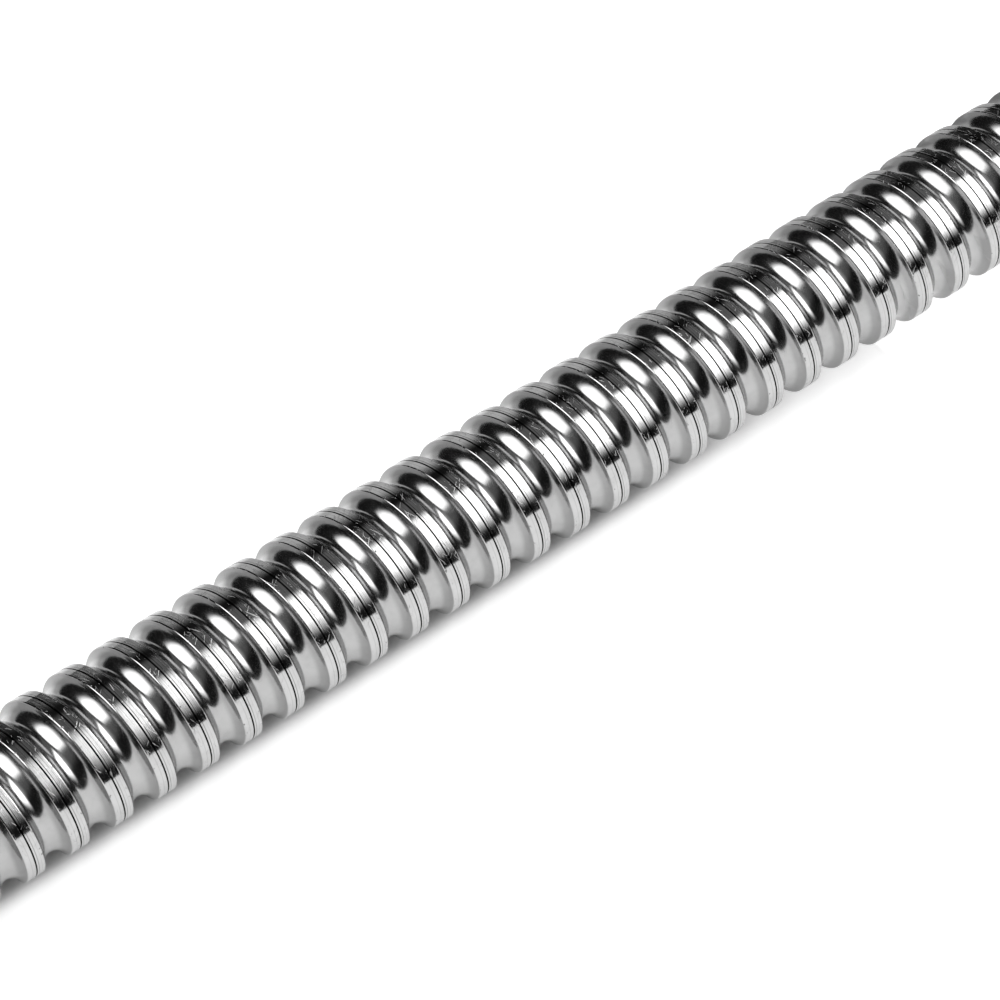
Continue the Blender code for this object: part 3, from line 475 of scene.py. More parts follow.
def ball_tree():
    """Puts a ball on each point of another object."""
    tree, given = shape_tree("balls_in_a_row", Centres="Object", Radius="Float", Divisions="Int", Surface="Material")
    centres = add(tree, "GeometryNodeObjectInfo", {"Object": given["Centres"]}).outputs["Geometry"]
    ball = add(tree, "GeometryNodeMeshIcoSphere", {"Radius": given["Radius"], "Subdivisions": given["Divisions"]})
    row = add(tree, "GeometryNodeInstanceOnPoints", {"Points": centres, "Instance": ball})
    return end_tree(tree, row, given["Surface"])


def balls(name, centres, radius, surface):
    """Balls on a list of centres."""
    marks = loose_points(f"{name}_centres", [c * MM for c in centres])
    values = {"Centres": marks, "Radius": radius * MM, "Divisions": BALL_DIVISIONS, "Surface": surface}
    made = from_tree(name, BALLS, values)
    bpy.data.objects.remove(marks)
    return made


def round_axis(station, radius, angle):
    """A point at a station, a radius and an angle."""
    return Vector((station, radius * sin(angle), -radius * cos(angle)))


def stand(piece, angle, station):
    """Turns a lathed piece so that it points out from the screw's axis at an angle and a station."""
    out = Vector((0, sin(angle), -cos(angle)))
    side = Vector((0, cos(angle), sin(angle)))
    turned = Matrix((out, side, Vector((1, 0, 0)))).transposed().to_4x4()
    piece.data.transform(Matrix.Translation((station * MM, 0, 0)) @ turned)
    return piece


def rounded(corners, steps=4):
    """Softens the corners of a closed outline. Each is (station, radius, length cut back along its sides)."""
    points = []
    for i, (s, r, cut) in enumerate(corners):
        here = Vector((s, r))
        if not cut:
            points.append((s, r))
            continue
        before = (Vector(corners[i - 1][:2]) - here).normalized() * cut
        after = (Vector(corners[(i + 1) % len(corners)][:2]) - here).normalized() * cut
        for k in range(steps + 1):
            t = k / steps
            points.append(tuple(here + before * (1 - t) ** 2 + after * t**2))
    return points


def hexagon_corner(flats):
    """The radius of a hexagon's corners, from the width across its flats."""
    return flats / 2 / cos(pi / 6)


def curve_shape(name, rows, closed, **settings):
    """The mesh that a curve's settings make along rows of points given in metres."""
    curve = bpy.data.curves.new(name, "CURVE")
    for key, value in settings.items():
        setattr(curve, key, value)
    for row in rows:
        spline = curve.splines.new("POLY")
        spline.points.add(len(row) - 1)
        spline.use_cyclic_u = closed
        for knot, place in zip(spline.points, row):
            knot.co = (*place, 1)
    thing = plain_object(name, curve)
    shape = open_shape(settled_mesh(thing))
    bpy.data.objects.remove(thing)
    bmesh.ops.remove_doubles(shape, verts=shape.verts, dist=WELD * MM)
    bmesh.ops.recalc_face_normals(shape, faces=shape.faces)
    return shape_object(name, shape)


def soften(piece, width, outside):
    """Rounds the sharp edges that lie outside a radius."""
    shape = open_shape(piece.data)
    edges = [e for e in shape.edges if e.is_manifold and e.calc_face_angle() > 0.6]
    edges = [e for e in edges if all(hypot(v.co.y, v.co.z) > outside * MM for v in e.verts)]
    bmesh.ops.bevel(shape, geom=edges, offset=width * MM, segments=3, profile=0.5, affect="EDGES")
    close_shape(shape, piece.data)


def finish(piece, body, slot, *nodes, surface=None, degrees=35):
    """Shades a piece, gives it a finish if one is given, hangs it on its body and hides the parts it stands for."""
    piece.data.shade_smooth()
    piece.data.set_sharp_from_angle(angle=radians(degrees))
    if surface:
        piece.data.materials.clear()
        piece.data.materials.append(surface)
        # wide flat faces shade flat, so that only the rounded edges beside them catch the light
        even = piece.modifiers.new("even", "WEIGHTED_NORMAL")
        even.keep_sharp = True
        settle(piece)
    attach(piece, body)
    if nodes:
        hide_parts(*nodes)


# Finishes

def base(name, colour, roughness, metallic=1.0):
    """A new material with plain values, its tree and its shader."""
    made = bpy.data.materials.new(name)
    made.use_nodes = True
    surface = made.node_tree.nodes["Principled BSDF"]
    surface.inputs["Base Color"].default_value = linear(colour)
    surface.inputs["Metallic"].default_value = metallic
    surface.inputs["Roughness"].default_value = roughness
    return made, made.node_tree, surface


def millimetres(tree):
    """The piece's own coordinates in millimetres."""
    place = add(tree, "ShaderNodeTexCoord").outputs["Object"]
    return add(tree, "ShaderNodeVectorMath", {0: place, "Scale": 1000.0}, operation="SCALE")


def axis_distance(tree, y, z):
    """How far a place is from the screw's axis."""
    across = add(tree, "ShaderNodeCombineXYZ", {1: y, 2: z})
    return add(tree, "ShaderNodeVectorMath", {0: across}, operation="LENGTH")


def mixed(tree, share, one, other):
    """One colour with a share of another."""
    return add(tree, "ShaderNodeMix", {0: share, 6: one, 7: other}, data_type="RGBA")


def texture(tree, surface, rough, height, depth):
    """Gives a finish its roughness and its relief, in which a height of 1 stands for a depth in millimetres."""
    relief = add(tree, "ShaderNodeBump", {"Height": height, "Distance": depth * MM})
    tree.links.new(rough.outputs[0], surface.inputs["Roughness"])
    tree.links.new(relief.outputs[0], surface.inputs["Normal"])


def rolled_steel():
    """Bearing steel, its track cold rolled and its lands polished.

    The lands are near mirrors with fine lines and stray scratches along them. The track is darker than the
    lands and its flanks darker still, as painted shade in the groove, and the seams are black with painted shade.
    """
    made, tree, surface = base("rolled_and_polished_bearing_steel", "CACACA", 0.1)
    place = millimetres(tree)
    x, y, z = add(tree, "ShaderNodeSeparateXYZ", {0: place}).outputs
    radius = axis_distance(tree, y, z)
    angle = add(tree, MATH, {0: z, 1: y}, operation="ARCTAN2")
    length = add(tree, MATH, {0: angle, 1: LAND_RADIUS}, operation="MULTIPLY")
    # the place within one lead, from 0 to 5 mm, with the land's middle at 2.5
    lead = add(tree, MATH, {0: angle, 1: -LEAD / tau, 2: x}, operation="MULTIPLY_ADD")
    lead = add(tree, MATH, {0: lead, 1: THREAD_START + LEAD / 4}, operation="SUBTRACT")
    within = add(tree, MATH, {0: lead, 1: LEAD, 2: 0.0}, operation="WRAP")
    from_middle = add(tree, MATH, {0: within, 1: LEAD / 2}, operation="SUBTRACT")
    off_middle = add(tree, MATH, {0: from_middle}, operation="ABSOLUTE")

    # where the land's rounded edge begins and ends, and where the seam's walls begin
    brink, top, wall = LAND_RADIUS - 0.12, LAND_RADIUS - 0.03, LAND_RADIUS - 0.005
    land = held(tree, 1.0, (radius, brink, top))
    # the track's flanks, and then the seams, as masks of painted shade
    painted_flank_shade = held(tree, 1.0, (radius, 6.42, 6.78), (radius, top, brink))
    seam_shade = held(tree, 1.0, (off_middle, 0.11, 0.08), (radius, wall, top))
    # painted shade of finer seams beside the deep one, which the shape doesn't cut, as (place, half width, darkness)
    for at, half, dark in ((0.29, 0.045, 0.55), (-0.46, 0.03, 0.25), (0.62, 0.025, 0.2)):
        off = add(tree, MATH, {0: from_middle, 1: at}, operation="SUBTRACT")
        off = add(tree, MATH, {0: off}, operation="ABSOLUTE")
        line = held(tree, land, (off, half, half / 2))
        line = add(tree, MATH, {0: line, 1: dark}, operation="MULTIPLY")
        seam_shade = add(tree, MATH, {0: seam_shade, 1: line}, operation="MAXIMUM")

    # fine lines drawn along the thread, closer than they can be seen, so they are drawn 0.1 mm apart
    slow = add(tree, MATH, {0: length, 1: 0.02}, operation="MULTIPLY")
    along = add(tree, "ShaderNodeCombineXYZ", {0: within, 1: slow})
    lines = add(tree, "ShaderNodeTexNoise", {"Vector": along, "Scale": 9.0, "Detail": 3.0, "Roughness": 0.7})
    # stray scratches: short straight strokes in three directions, most of them on the lands
    few = add(tree, "ShaderNodeTexNoise", {"Vector": place, "Scale": 0.7})
    strokes = 0.0
    for number, turn in enumerate((0.15, 0.75, -0.5)):
        stroke = []
        for near, far, finer in ((cos(turn), sin(turn), 7.0), (-sin(turn), cos(turn), 0.45)):
            side = add(tree, MATH, {0: length, 1: far}, operation="MULTIPLY")
            side = add(tree, MATH, {0: x, 1: near, 2: side}, operation="MULTIPLY_ADD")
            stroke.append(add(tree, MATH, {0: side, 1: finer}, operation="MULTIPLY"))
        grain = add(tree, "ShaderNodeCombineXYZ", {0: stroke[0], 1: stroke[1], 2: 7.0 * number})
        grain = add(tree, "ShaderNodeTexNoise", {"Vector": grain, "Scale": 1.0})
        cut = held(tree, 1.0, (grain, 0.66, 0.69))
        strokes = add(tree, MATH, {0: strokes, 1: cut}, operation="MAXIMUM")
    mostly_land = add(tree, "ShaderNodeMapRange", {0: land, 3: 0.15})
    scratches = add(tree, MATH, {0: strokes, 1: mostly_land}, operation="MULTIPLY")
    scratches = held(tree, scratches, (few, 0.4, 0.52))
    # nicks along the lands' edges
    chips = add(tree, "ShaderNodeTexNoise", {"Vector": place, "Scale": 2.6})
    nicks = held(tree, land, (chips, 0.66, 0.7), (off_middle, 0.68, 0.84))

    cloud = add(tree, "ShaderNodeTexNoise", {"Vector": place, "Scale": 0.9, "Detail": 4.0, "Roughness": 0.6})
    mottle = held(tree, 0.12, (cloud, 0.4, 0.75))
    # painted shade in the seams, with the dark of the nicks
    black = add(tree, MATH, {0: nicks, 1: 0.6}, operation="MULTIPLY")
    black = add(tree, MATH, {0: seam_shade, 1: black}, operation="MAXIMUM")
    # painted shade: the track is darker than the lands, and its flanks darker still
    colour = mixed(tree, painted_flank_shade, linear("BABABA"), linear("A2A2A2"))
    for share, other in ((land, "CACACA"), (mottle, "808080"), (black, "101010")):
        colour = mixed(tree, share, colour, linear(other))
    tree.links.new(colour.outputs[2], surface.inputs["Base Color"])

    rough = add(tree, "ShaderNodeMapRange", {0: land, 3: 0.15, 4: 0.08})
    rough = add(tree, MATH, {0: rough, 1: held(tree, 0.04, (cloud, 0.35, 0.7))}, operation="ADD")
    rough = add(tree, MATH, {0: scratches, 1: 0.42, 2: rough}, operation="MULTIPLY_ADD")
    drawn = held(tree, land, (lines, 0.56, 0.7))
    rough = add(tree, MATH, {0: drawn, 1: 0.2, 2: rough}, operation="MULTIPLY_ADD")
    height = add(tree, MATH, {0: lines, 1: land}, operation="MULTIPLY")
    height = add(tree, MATH, {0: height, 1: scratches}, operation="SUBTRACT")
    height = add(tree, MATH, {0: nicks, 1: -8.0, 2: height}, operation="MULTIPLY_ADD")
    texture(tree, surface, rough, height, 0.004)
    return made


def ground_steel(name, colour, spacing, rough):
    """Metal turned or ground on centres: soft streaks of light across very fine rings, a spacing apart."""
    made, tree, surface = base(name, colour, rough)
    x, y, z = add(tree, "ShaderNodeSeparateXYZ", {0: millimetres(tree)}).outputs
    radius = axis_distance(tree, y, z)
    # the rings drift a little on their way round
    angle = add(tree, MATH, {0: y, 1: z}, operation="ARCTAN2")
    drift = add(tree, MATH, {0: angle}, operation="COSINE")
    drift = add(tree, MATH, {0: drift, 1: 0.02}, operation="MULTIPLY")
    where = add(tree, "ShaderNodeCombineXYZ", {0: x, 1: radius, 2: drift})
    marks = add(tree, "ShaderNodeTexNoise", {"Vector": where, "Scale": 1 / spacing, "Detail": 3.0, "Roughness": 0.6})
    uneven = add(tree, "ShaderNodeMapRange", {0: marks, 1: 0.3, 2: 0.7, 3: rough * 0.7, 4: rough * 1.35})
    texture(tree, surface, uneven, marks, 0.004)
    return made


def grained(name, colour, dark, rough, grain, depth, metallic=1.0):
    """A surface with an even fine grain, as pressing, sintering, blackening or moulding leaves."""
    made, tree, surface = base(name, colour, rough, metallic)
    place = millimetres(tree)
    fine = add(tree, "ShaderNodeTexNoise", {"Vector": place, "Scale": 1 / grain, "Detail": 4.0})
    broad = add(tree, "ShaderNodeTexNoise", {"Vector": place, "Scale": 0.25})
    share = add(tree, "ShaderNodeMapRange", {0: broad, 1: 0.35, 2: 0.65})
    tree.links.new(mixed(tree, share, linear(dark), linear(colour)).outputs[2], surface.inputs["Base Color"])
    uneven = add(tree, "ShaderNodeMapRange", {0: fine, 1: 0.3, 2: 0.7, 3: rough * 0.8, 4: rough * 1.2})
    texture(tree, surface, uneven, fine, depth)
    return made


# Shaft

def shaft():
    """The rolled bar with its ends turned down to the journals, and the fine thread for the lock nut."""
    first = floor((DRIVE_END - THREAD_START) / LEAD) - 1
    turns = ceil((FREE_END - THREAD_START) / LEAD) + 1 - first
    bar = swept_thread("rolled_thread", groove_section(), LEAD, THREAD_START + LEAD * first, turns, ROLLED)
    clear = LAND_RADIUS + 0.5
    fixed, drive, free = FIXED_RADIUS, DRIVE_RADIUS, FREE_RADIUS
    low, high = CIRCLIP_GROOVE
    outline = [
        (DRIVE_END + CENTRE_HOLE_DEPTH, 0, 0),
        (DRIVE_END, CENTRE_HOLE_RADIUS, 0.1),
        (DRIVE_END, drive - END_CHAMFER, 0.1),
        (DRIVE_END + END_CHAMFER, drive, 0.1),
        (LOCK_START, drive, 0),
        (LOCK_START, LOCK_ROOT - 0.02, 0),
        (SEAT_START - RELIEF_WIDTH, LOCK_ROOT - 0.02, 0),
        (SEAT_START - RELIEF_WIDTH, fixed - RELIEF_DEPTH, 0),
        (SEAT_START, fixed - RELIEF_DEPTH, 0.15),
        (SEAT_START, fixed, 0.1),
        (THREAD_START, fixed, 0),
        (THREAD_START, LAND_RADIUS - THREAD_CHAMFER, 0),
        (THREAD_START + THREAD_CHAMFER + 0.5, clear, 0),
        (THREAD_END - THREAD_CHAMFER - 0.5, clear, 0),
        (THREAD_END, LAND_RADIUS - THREAD_CHAMFER, 0),
        (THREAD_END, free, 0),
        (low, free, 0.06),
        (low, free - CIRCLIP_GROOVE_DEPTH, 0),
        (high, free - CIRCLIP_GROOVE_DEPTH, 0),
        (high, free, 0.06),
        (FREE_END - END_CHAMFER, free, 0.1),
        (FREE_END, free - END_CHAMFER, 0.1),
        (FREE_END, CENTRE_HOLE_RADIUS, 0.1),
        (FREE_END - CENTRE_HOLE_DEPTH, 0, 0),
    ]
    boolean(bar, lathe("turned_envelope", rounded(outline)), "INTERSECT")
    bar.data.materials.clear()
    bar.data.materials.append(ROLLED)
    bar.data.materials.append(JOURNAL)
    lock = lock_thread()
    shape = open_shape(bar.data)
    shape.from_mesh(lock.data)
    bpy.data.objects.remove(lock)
    for face in shape.faces:
        at = face.calc_center_median() / MM
        outside = hypot(at.y, at.z) > FIXED_RADIUS + 0.2
        rolled = outside and THREAD_START + 0.01 < at.x < THREAD_END - 0.01
        face.material_index = 0 if rolled else 1
    close_shape(shape, bar.data)
    finish(bar, "screw", "rolled_screw_steel", "screw_shaft", degrees=30)


def lock_thread():
    """The fine thread, with a chamfer at both ends."""
    low, high = LOCK_START, SEAT_START - RELIEF_WIDTH
    root, crest = LOCK_ROOT, LOCK_RADIUS
    section = [(0, root), (0.1, root), (0.43, crest), (0.57, crest), (0.9, root), (LOCK_LEAD, root)]
    turns = ceil((high - low) / LOCK_LEAD) + 2
    bar = swept_thread("lock_thread", section, LOCK_LEAD, low - LOCK_LEAD, turns, JOURNAL)
    outline = [(low, 0), (low, crest - 0.6), (low + 0.7, crest + 0.1)]
    outline += [(high - 0.7, crest + 0.1), (high, crest - 0.6), (high, 0)]
    return boolean(bar, lathe("lock_envelope", outline), "INTERSECT")


# Nut

def nut_body():
    """The ground nut: flange with two flats and six bolt holes, ball track, wiper seats and insert pockets."""
    seat = WIPER_THICKNESS + 0.25
    outline = [
        (NUT_END - seat, 0, 0),
        (NUT_END - seat, WIPER_SEAT, 0),
        (NUT_END, WIPER_SEAT, 0.3),
        (NUT_END, NUT_RADIUS - 0.6, 0.12),
        (NUT_END - 0.6, NUT_RADIUS, 0.12),
        (FLANGE_END + 0.4, NUT_RADIUS, 0.3),
        (FLANGE_END + 0.4, NUT_RADIUS - 0.3, 0),
        (FLANGE_END, NUT_RADIUS - 0.3, 0),
        (FLANGE_END, FLANGE_RADIUS - 0.6, 0.12),
        (FLANGE_END - 0.6, FLANGE_RADIUS, 0.12),
        (NUT_START + 0.6, FLANGE_RADIUS, 0.12),
        (NUT_START, FLANGE_RADIUS - 0.6, 0.12),
        (NUT_START, WIPER_SEAT, 0.3),
        (NUT_START + seat, WIPER_SEAT, 0),
        (NUT_START + seat, 0, 0),
    ]
    body = lathe("ground_nut", rounded(outline), 160)
    for side in (-1, 1):
        boolean(body, flat_cutter(side))
    for side in (-1, 1):
        for step in (-1, 0, 1):
            boolean(body, bolt_hole(pi / 2 * side + step * pi / 6))
    # the oil hole, its thread and its countersink, as (distance from the axis, radius)
    mouth = [(12, 0), (12, 1.25), (14.5, 1.25), (14.5, 3.0), (19.6, 3.0), (20.2, 3.6), (24, 3.6), (24, 0)]
    boolean(body, stand(lathe("lube_port", mouth, 48), pi, LUBE_STATION))
    track = BALL_RADIUS + TRACK_PLAY
    ridge = acos((NUT_BORE - BALL_CIRCLE) / track)
    steps = 14
    angles = [ridge * (1 - 2 * i / steps) for i in reversed(range(steps + 1))]
    section = [(track * sin(a), BALL_CIRCLE + track * cos(a)) for a in angles]
    section.append((LEAD - track * sin(ridge), NUT_BORE))
    first = floor((NUT_START - THREAD_START) / LEAD) - 1
    last = ceil((NUT_END - THREAD_START) / LEAD) + 1
    boolean(body, swept_thread("nut_core", section, LEAD, THREAD_START + LEAD * first, last - first, GROUND))
    for number in range(CIRCUITS):
        pocket = [(0, 0), (0, 5.95), (13.75, 5.95), (14.3, 6.5), (PAST_NUT, 6.5), (PAST_NUT, 0)]
        boolean(body, stand(lathe("deflector_pocket", pocket, 64), *insert_place(number)))
    finish(body, "nut", "ground_nut_steel", "nut_body", surface=GROUND)


def flat_cutter(side):
    """What is milled off the flange above or below, down to a flat whose two long edges are broken."""
    edge, past = 0.3, 5.0
    outline = [
        (NUT_START - past, FLANGE_FLAT - edge - past, 0),
        (NUT_START + edge, FLANGE_FLAT, 0.12),
        (FLANGE_END - edge, FLANGE_FLAT, 0.12),
        (FLANGE_END + past, FLANGE_FLAT - edge - past, 0),
        (FLANGE_END + past, 40, 0),
        (NUT_START - past, 40, 0),
    ]
    shape = bmesh.new()
    corners = [shape.verts.new((s * MM, -30 * MM, side * h * MM)) for s, h in rounded(outline)]
    made = bmesh.ops.extrude_face_region(shape, geom=[shape.faces.new(corners)], use_keep_orig=True)["geom"]
    moved = [g for g in made if isinstance(g, bmesh.types.BMVert)]
    bmesh.ops.translate(shape, vec=(0, 60 * MM, 0), verts=moved)
    face_outwards(shape)
    return shape_object("flat_cutter", shape)


def bolt_hole(angle):
    """A through hole with a small countersink at both faces of the flange."""
    a, b, r = NUT_START, FLANGE_END, BOLT_HOLE
    wide = r + 0.9
    outline = [(a - 0.6, 0), (a - 0.6, wide), (a + 0.3, r), (b - 0.3, r), (b + 0.6, wide), (b + 0.6, 0)]
    hole = lathe("bolt_hole", outline, 40)
    hole.data.transform(Matrix.Translation(round_axis(0, BOLT_CIRCLE, angle) * MM))
    return hole


def insert_angle(number):
    """The angle of the middle of a circuit's return insert."""
    return FIRST_RETURN + number * CIRCUIT_STEP


def track_station(angle):
    """The station of the track's middle line at an angle."""
    return THREAD_START + LEAD * angle / tau


def insert_place(number):
    """The angle and the station of the middle of a circuit's return insert."""
    angle = insert_angle(number)
    return angle, track_station(angle) + LEAD / 2


def ease(t):
    """Goes from 0 to 1 with a soft start and a soft end."""
    t = min(max(t, 0.0), 1.0)
    return t - sin(tau * t) / tau


def track_point(angle):
    """A point on the middle line of the track."""
    return round_axis(track_station(angle), BALL_CIRCLE, angle)


def return_point(number, t):
    """A point on the way back over the land, from the far turn at t = 0 to the near turn at t = 1."""
    angle = insert_angle(number) + RETURN_HALF_ANGLE * (2 * t - 1)
    station = track_station(angle) + LEAD * (1 - ease(t))
    lift = ease(min(t, 1 - t) / RETURN_RAMP)
    return round_axis(station, BALL_CIRCLE + (RETURN_RADIUS - BALL_CIRCLE) * lift, angle)


def ball_circuit(number):
    """The loose balls of one circuit: one turn of track, then the way back through the insert."""
    middle = insert_angle(number)
    first, last = middle + RETURN_HALF_ANGLE, middle + tau - RETURN_HALF_ANGLE
    path = [track_point(first + (last - first) * i / PATH_STEPS) for i in range(PATH_STEPS)]
    path += [return_point(number, i / PATH_STEPS) for i in range(PATH_STEPS)]
    lengths = [0.0]
    for i, point in enumerate(path):
        lengths.append(lengths[-1] + (path[(i + 1) % len(path)] - point).length)
    count = floor(lengths[-1] / (2 * BALL_RADIUS))
    centres = []
    for i in range(count):
        distance = lengths[-1] * i / count
        k = max(j for j in range(len(path)) if lengths[j] <= distance)
        share = (distance - lengths[k]) / (lengths[k + 1] - lengths[k])
        centres.append(path[k].lerp(path[(k + 1) % len(path)], share))
    made = balls(f"circuit_balls_{number + 1}", centres, BALL_RADIUS - 0.01, BALL_STEEL)
    finish(made, "nut", "ball_steel", f"ball_circuit_{number + 1}", degrees=40)


def return_deflector(number):
    """The insert that lifts the balls over the land and back by one turn."""
    angle, station = insert_place(number)
    outline = [(0, 0), (0, INSERT_RADIUS), (PAST_NUT, INSERT_RADIUS), (PAST_NUT, 0)]
    insert = stand(lathe(f"return_insert_{number + 1}", outline, 64), angle, station)
    low, high, top = station - 8, station + 8, NUT_RADIUS - INSERT_DROP
    wall = [(low, NUT_BORE), (low, top), (high, top), (high, NUT_BORE)]
    boolean(insert, lathe("insert_wall", wall, 160), "INTERSECT")
    soften(insert, 0.3, top - 0.1)
    far, near = angle + tau - RETURN_HALF_ANGLE, angle + RETURN_HALF_ANGLE
    step = RETURN_HALF_ANGLE / 6
    points = [track_point(far - step * (6 - i)) for i in range(6)]
    points += [return_point(number, i / 30) for i in range(31)]
    points += [track_point(near + step * (i + 1)) for i in range(6)]
    row = [point * MM for point in points]
    bar = {"dimensions": "3D", "bevel_depth": (BALL_RADIUS + 0.15) * MM, "bevel_resolution": 3, "use_fill_caps": True}
    boolean(insert, curve_shape("return_channel", [row], False, **bar))
    finish(insert, "nut", "deflector_steel", f"return_deflector_{number + 1}", surface=SINTERED)


def lube_plug():
    """A headless socket screw in the lubrication port."""
    top = FLANGE_FLAT - PLUG_DROP
    low = top - PLUG_LENGTH
    outline = [(low, 0, 0), (low, 2.2, 0.1), (top - 3.9, 2.9, 0.1), (top - 0.5, 2.9, 0.1)]
    outline += [(top, 2.4, 0.1), (top, 0, 0)]
    plug = lathe("port_plug", rounded(outline), 48)
    corner = hexagon_corner(3.0)
    boolean(plug, lathe("plug_socket", [(top - 2.6, 0), (top - 2.0, corner), (top + 1, corner), (top + 1, 0)], 6))
    finish(stand(plug, pi, LUBE_STATION), "nut", "blackened_steel", "lube_plug", surface=BLACKENED)


def wiper(name, node, low):
    """A moulded ring with two soft lips that run close to the lands."""
    high = low + WIPER_THICKNESS
    outer, lip = WIPER_SEAT - 0.06, LAND_RADIUS + 0.12
    near = [(low, outer, 0.25), (low, lip + 0.5, 0.2), (low + 0.45, lip, 0.12), (low + 1.0, lip, 0.12)]
    far = [(high - 1.0, lip, 0.12), (high - 0.45, lip, 0.12), (high, lip + 0.5, 0.2), (high, outer, 0.25)]
    middle = [(low + 1.2, lip + 0.6, 0.15), (high - 1.2, lip + 0.6, 0.15)]
    finish(lathe(name, rounded(near + middle + far)), "nut", "wiper_plastic", node, surface=WIPER)


# Bearings

def race(centre, station, side):
    """The ball groove of a bearing's ring, from shoulder to shoulder. The side is -1 for an inner ring."""
    opening = acos(SHOULDER / RACE_RADIUS)
    angles = [opening * (2 * i / ARC_STEPS - 1) for i in range(ARC_STEPS + 1)]
    return [(station + RACE_RADIUS * sin(a), centre + side * RACE_RADIUS * cos(a), 0) for a in angles]


def outer_ring(name, node, bore_radius, low, relieved=0, shielded=False):
    """An outer ring, with one shoulder relieved on an angular contact bearing, or with seats for two shields."""
    outside, centre = bore_radius + BEARING_SECTION, bore_radius + BEARING_SECTION / 2
    high = low + BEARING_WIDTH
    shoulder = centre + SHOULDER
    groove = race(centre, (low + high) / 2, 1)
    near = [(low, shoulder, 0.25)]
    far = [(high, shoulder, 0.25)]
    if shielded:
        step, depth = shoulder + 0.6, 0.95
        near = [(low, step, 0.15), (low + depth, step, 0), (low + depth, shoulder, 0.1)]
        far = [(high - depth, shoulder, 0.1), (high - depth, step, 0), (high, step, 0.15)]
    if relieved > 0:
        far, groove = [(high, shoulder + 0.75, 0.2)], groove[:-2]
    if relieved < 0:
        near, groove = [(low, shoulder + 0.75, 0.2)], groove[2:]
    outline = near + groove + far + [(high, outside, 0.5), (low, outside, 0.5)]
    finish(lathe(name, rounded(outline)), "bearing_seats", "ring_steel", node, surface=RING)


def inner_ring(name, node, bore_radius, low):
    """An inner ring that turns with the screw."""
    bore, centre = bore_radius + 0.05, bore_radius + BEARING_SECTION / 2
    high = low + BEARING_WIDTH
    shoulder = centre - SHOULDER
    groove = race(centre, (low + high) / 2, -1)
    outline = [(low, bore, 0.4), (low, shoulder, 0.25), *groove, (high, shoulder, 0.25), (high, bore, 0.4)]
    finish(lathe(name, rounded(outline)), "screw", "ring_steel", node, surface=RING)


def cage(name, node, body, bore_radius, low, count):
    """The balls of a bearing, and the moulded cage that spaces them."""
    centre, middle = bore_radius + BEARING_SECTION / 2, low + BEARING_WIDTH / 2
    places = [round_axis(middle, centre, tau * (i + 0.5) / count) for i in range(count)]
    finish(balls(f"{name}_balls", places, BEARING_BALL, BALL_STEEL), body, "ball_steel", node, degrees=40)
    low, high, inside, outside = middle - 2.9, middle + 2.9, centre - 1.05, centre + 1.05
    outline = [(low, inside, 0.25), (low, outside, 0.25), (high, outside, 0.25), (high, inside, 0.25)]
    ring = lathe(f"{name}_cage", rounded(outline))
    boolean(ring, balls("pockets", places, BEARING_BALL + 0.08, CAGE))
    finish(ring, body, "cage_plastic", node, surface=CAGE)


def shield(name, node, low, high_side):
    """A pressed cover: a flat rim in the outer ring, a raised bead, and a flat skirt over the inner ring."""
    centre = FREE_RADIUS + BEARING_SECTION / 2
    outer, inner = centre + SHOULDER + 0.5, centre - SHOULDER + 0.12
    face, way = (low + BEARING_WIDTH - 0.35, -1) if high_side else (low + 0.35, 1)
    front = [(0.12, outer), (0.12, outer - 0.45), (0.0, outer - 0.75), (0.0, inner + 0.45), (0.12, inner)]
    back = [(s + 0.3, r) for s, r in reversed(front)]
    outline = [(face + way * s, r, 0.04) for s, r in front + back]
    finish(lathe(name, rounded(outline, 2)), "bearing_seats", "shield_steel", node, surface=SHEET)


# Collars, lock nut and circlip

def collar(name, node, low, high):
    """A ground spacer ring on the fixed bearings' seat."""
    bore, outer = FIXED_RADIUS + 0.05, FIXED_RADIUS + 2.6
    outline = [(low, bore, 0.3), (low, outer, 0.45), (high, outer, 0.45), (high, bore, 0.3)]
    finish(lathe(name, rounded(outline)), "screw", "ring_steel", node, surface=RING)


def lock_nut():
    """A blackened hexagon with turned chamfers and a radial thread."""
    low, high = LOCK_NUT
    flat, corner = LOCK_NUT_FLATS / 2, hexagon_corner(LOCK_NUT_FLATS)
    nut = lathe("hexagon_lock_nut", [(low, 0), (low, corner), (high, corner), (high, 0)], 6)
    bore = LOCK_RADIUS + 0.06
    outline = [(high, bore, 0.35), (high, flat, 0.1), (high - 0.9, corner + 0.5, 0)]
    outline += [(low + 0.9, corner + 0.5, 0), (low, flat, 0.1), (low, bore, 0.35)]
    boolean(nut, lathe("lock_nut_turning", rounded(outline), 128), "INTERSECT")
    # the hole and its countersink, as (distance from the axis, radius)
    hole = [(0, 0), (0, 2.0), (flat - 0.3, 2.0), (flat + 0.2, 2.5), (12, 2.5), (12, 0)]
    boolean(nut, stand(lathe("set_screw_bore", hole, 40), 0, (low + high) / 2))
    finish(nut, "screw", "blackened_steel", "lock_nut", surface=BLACKENED)


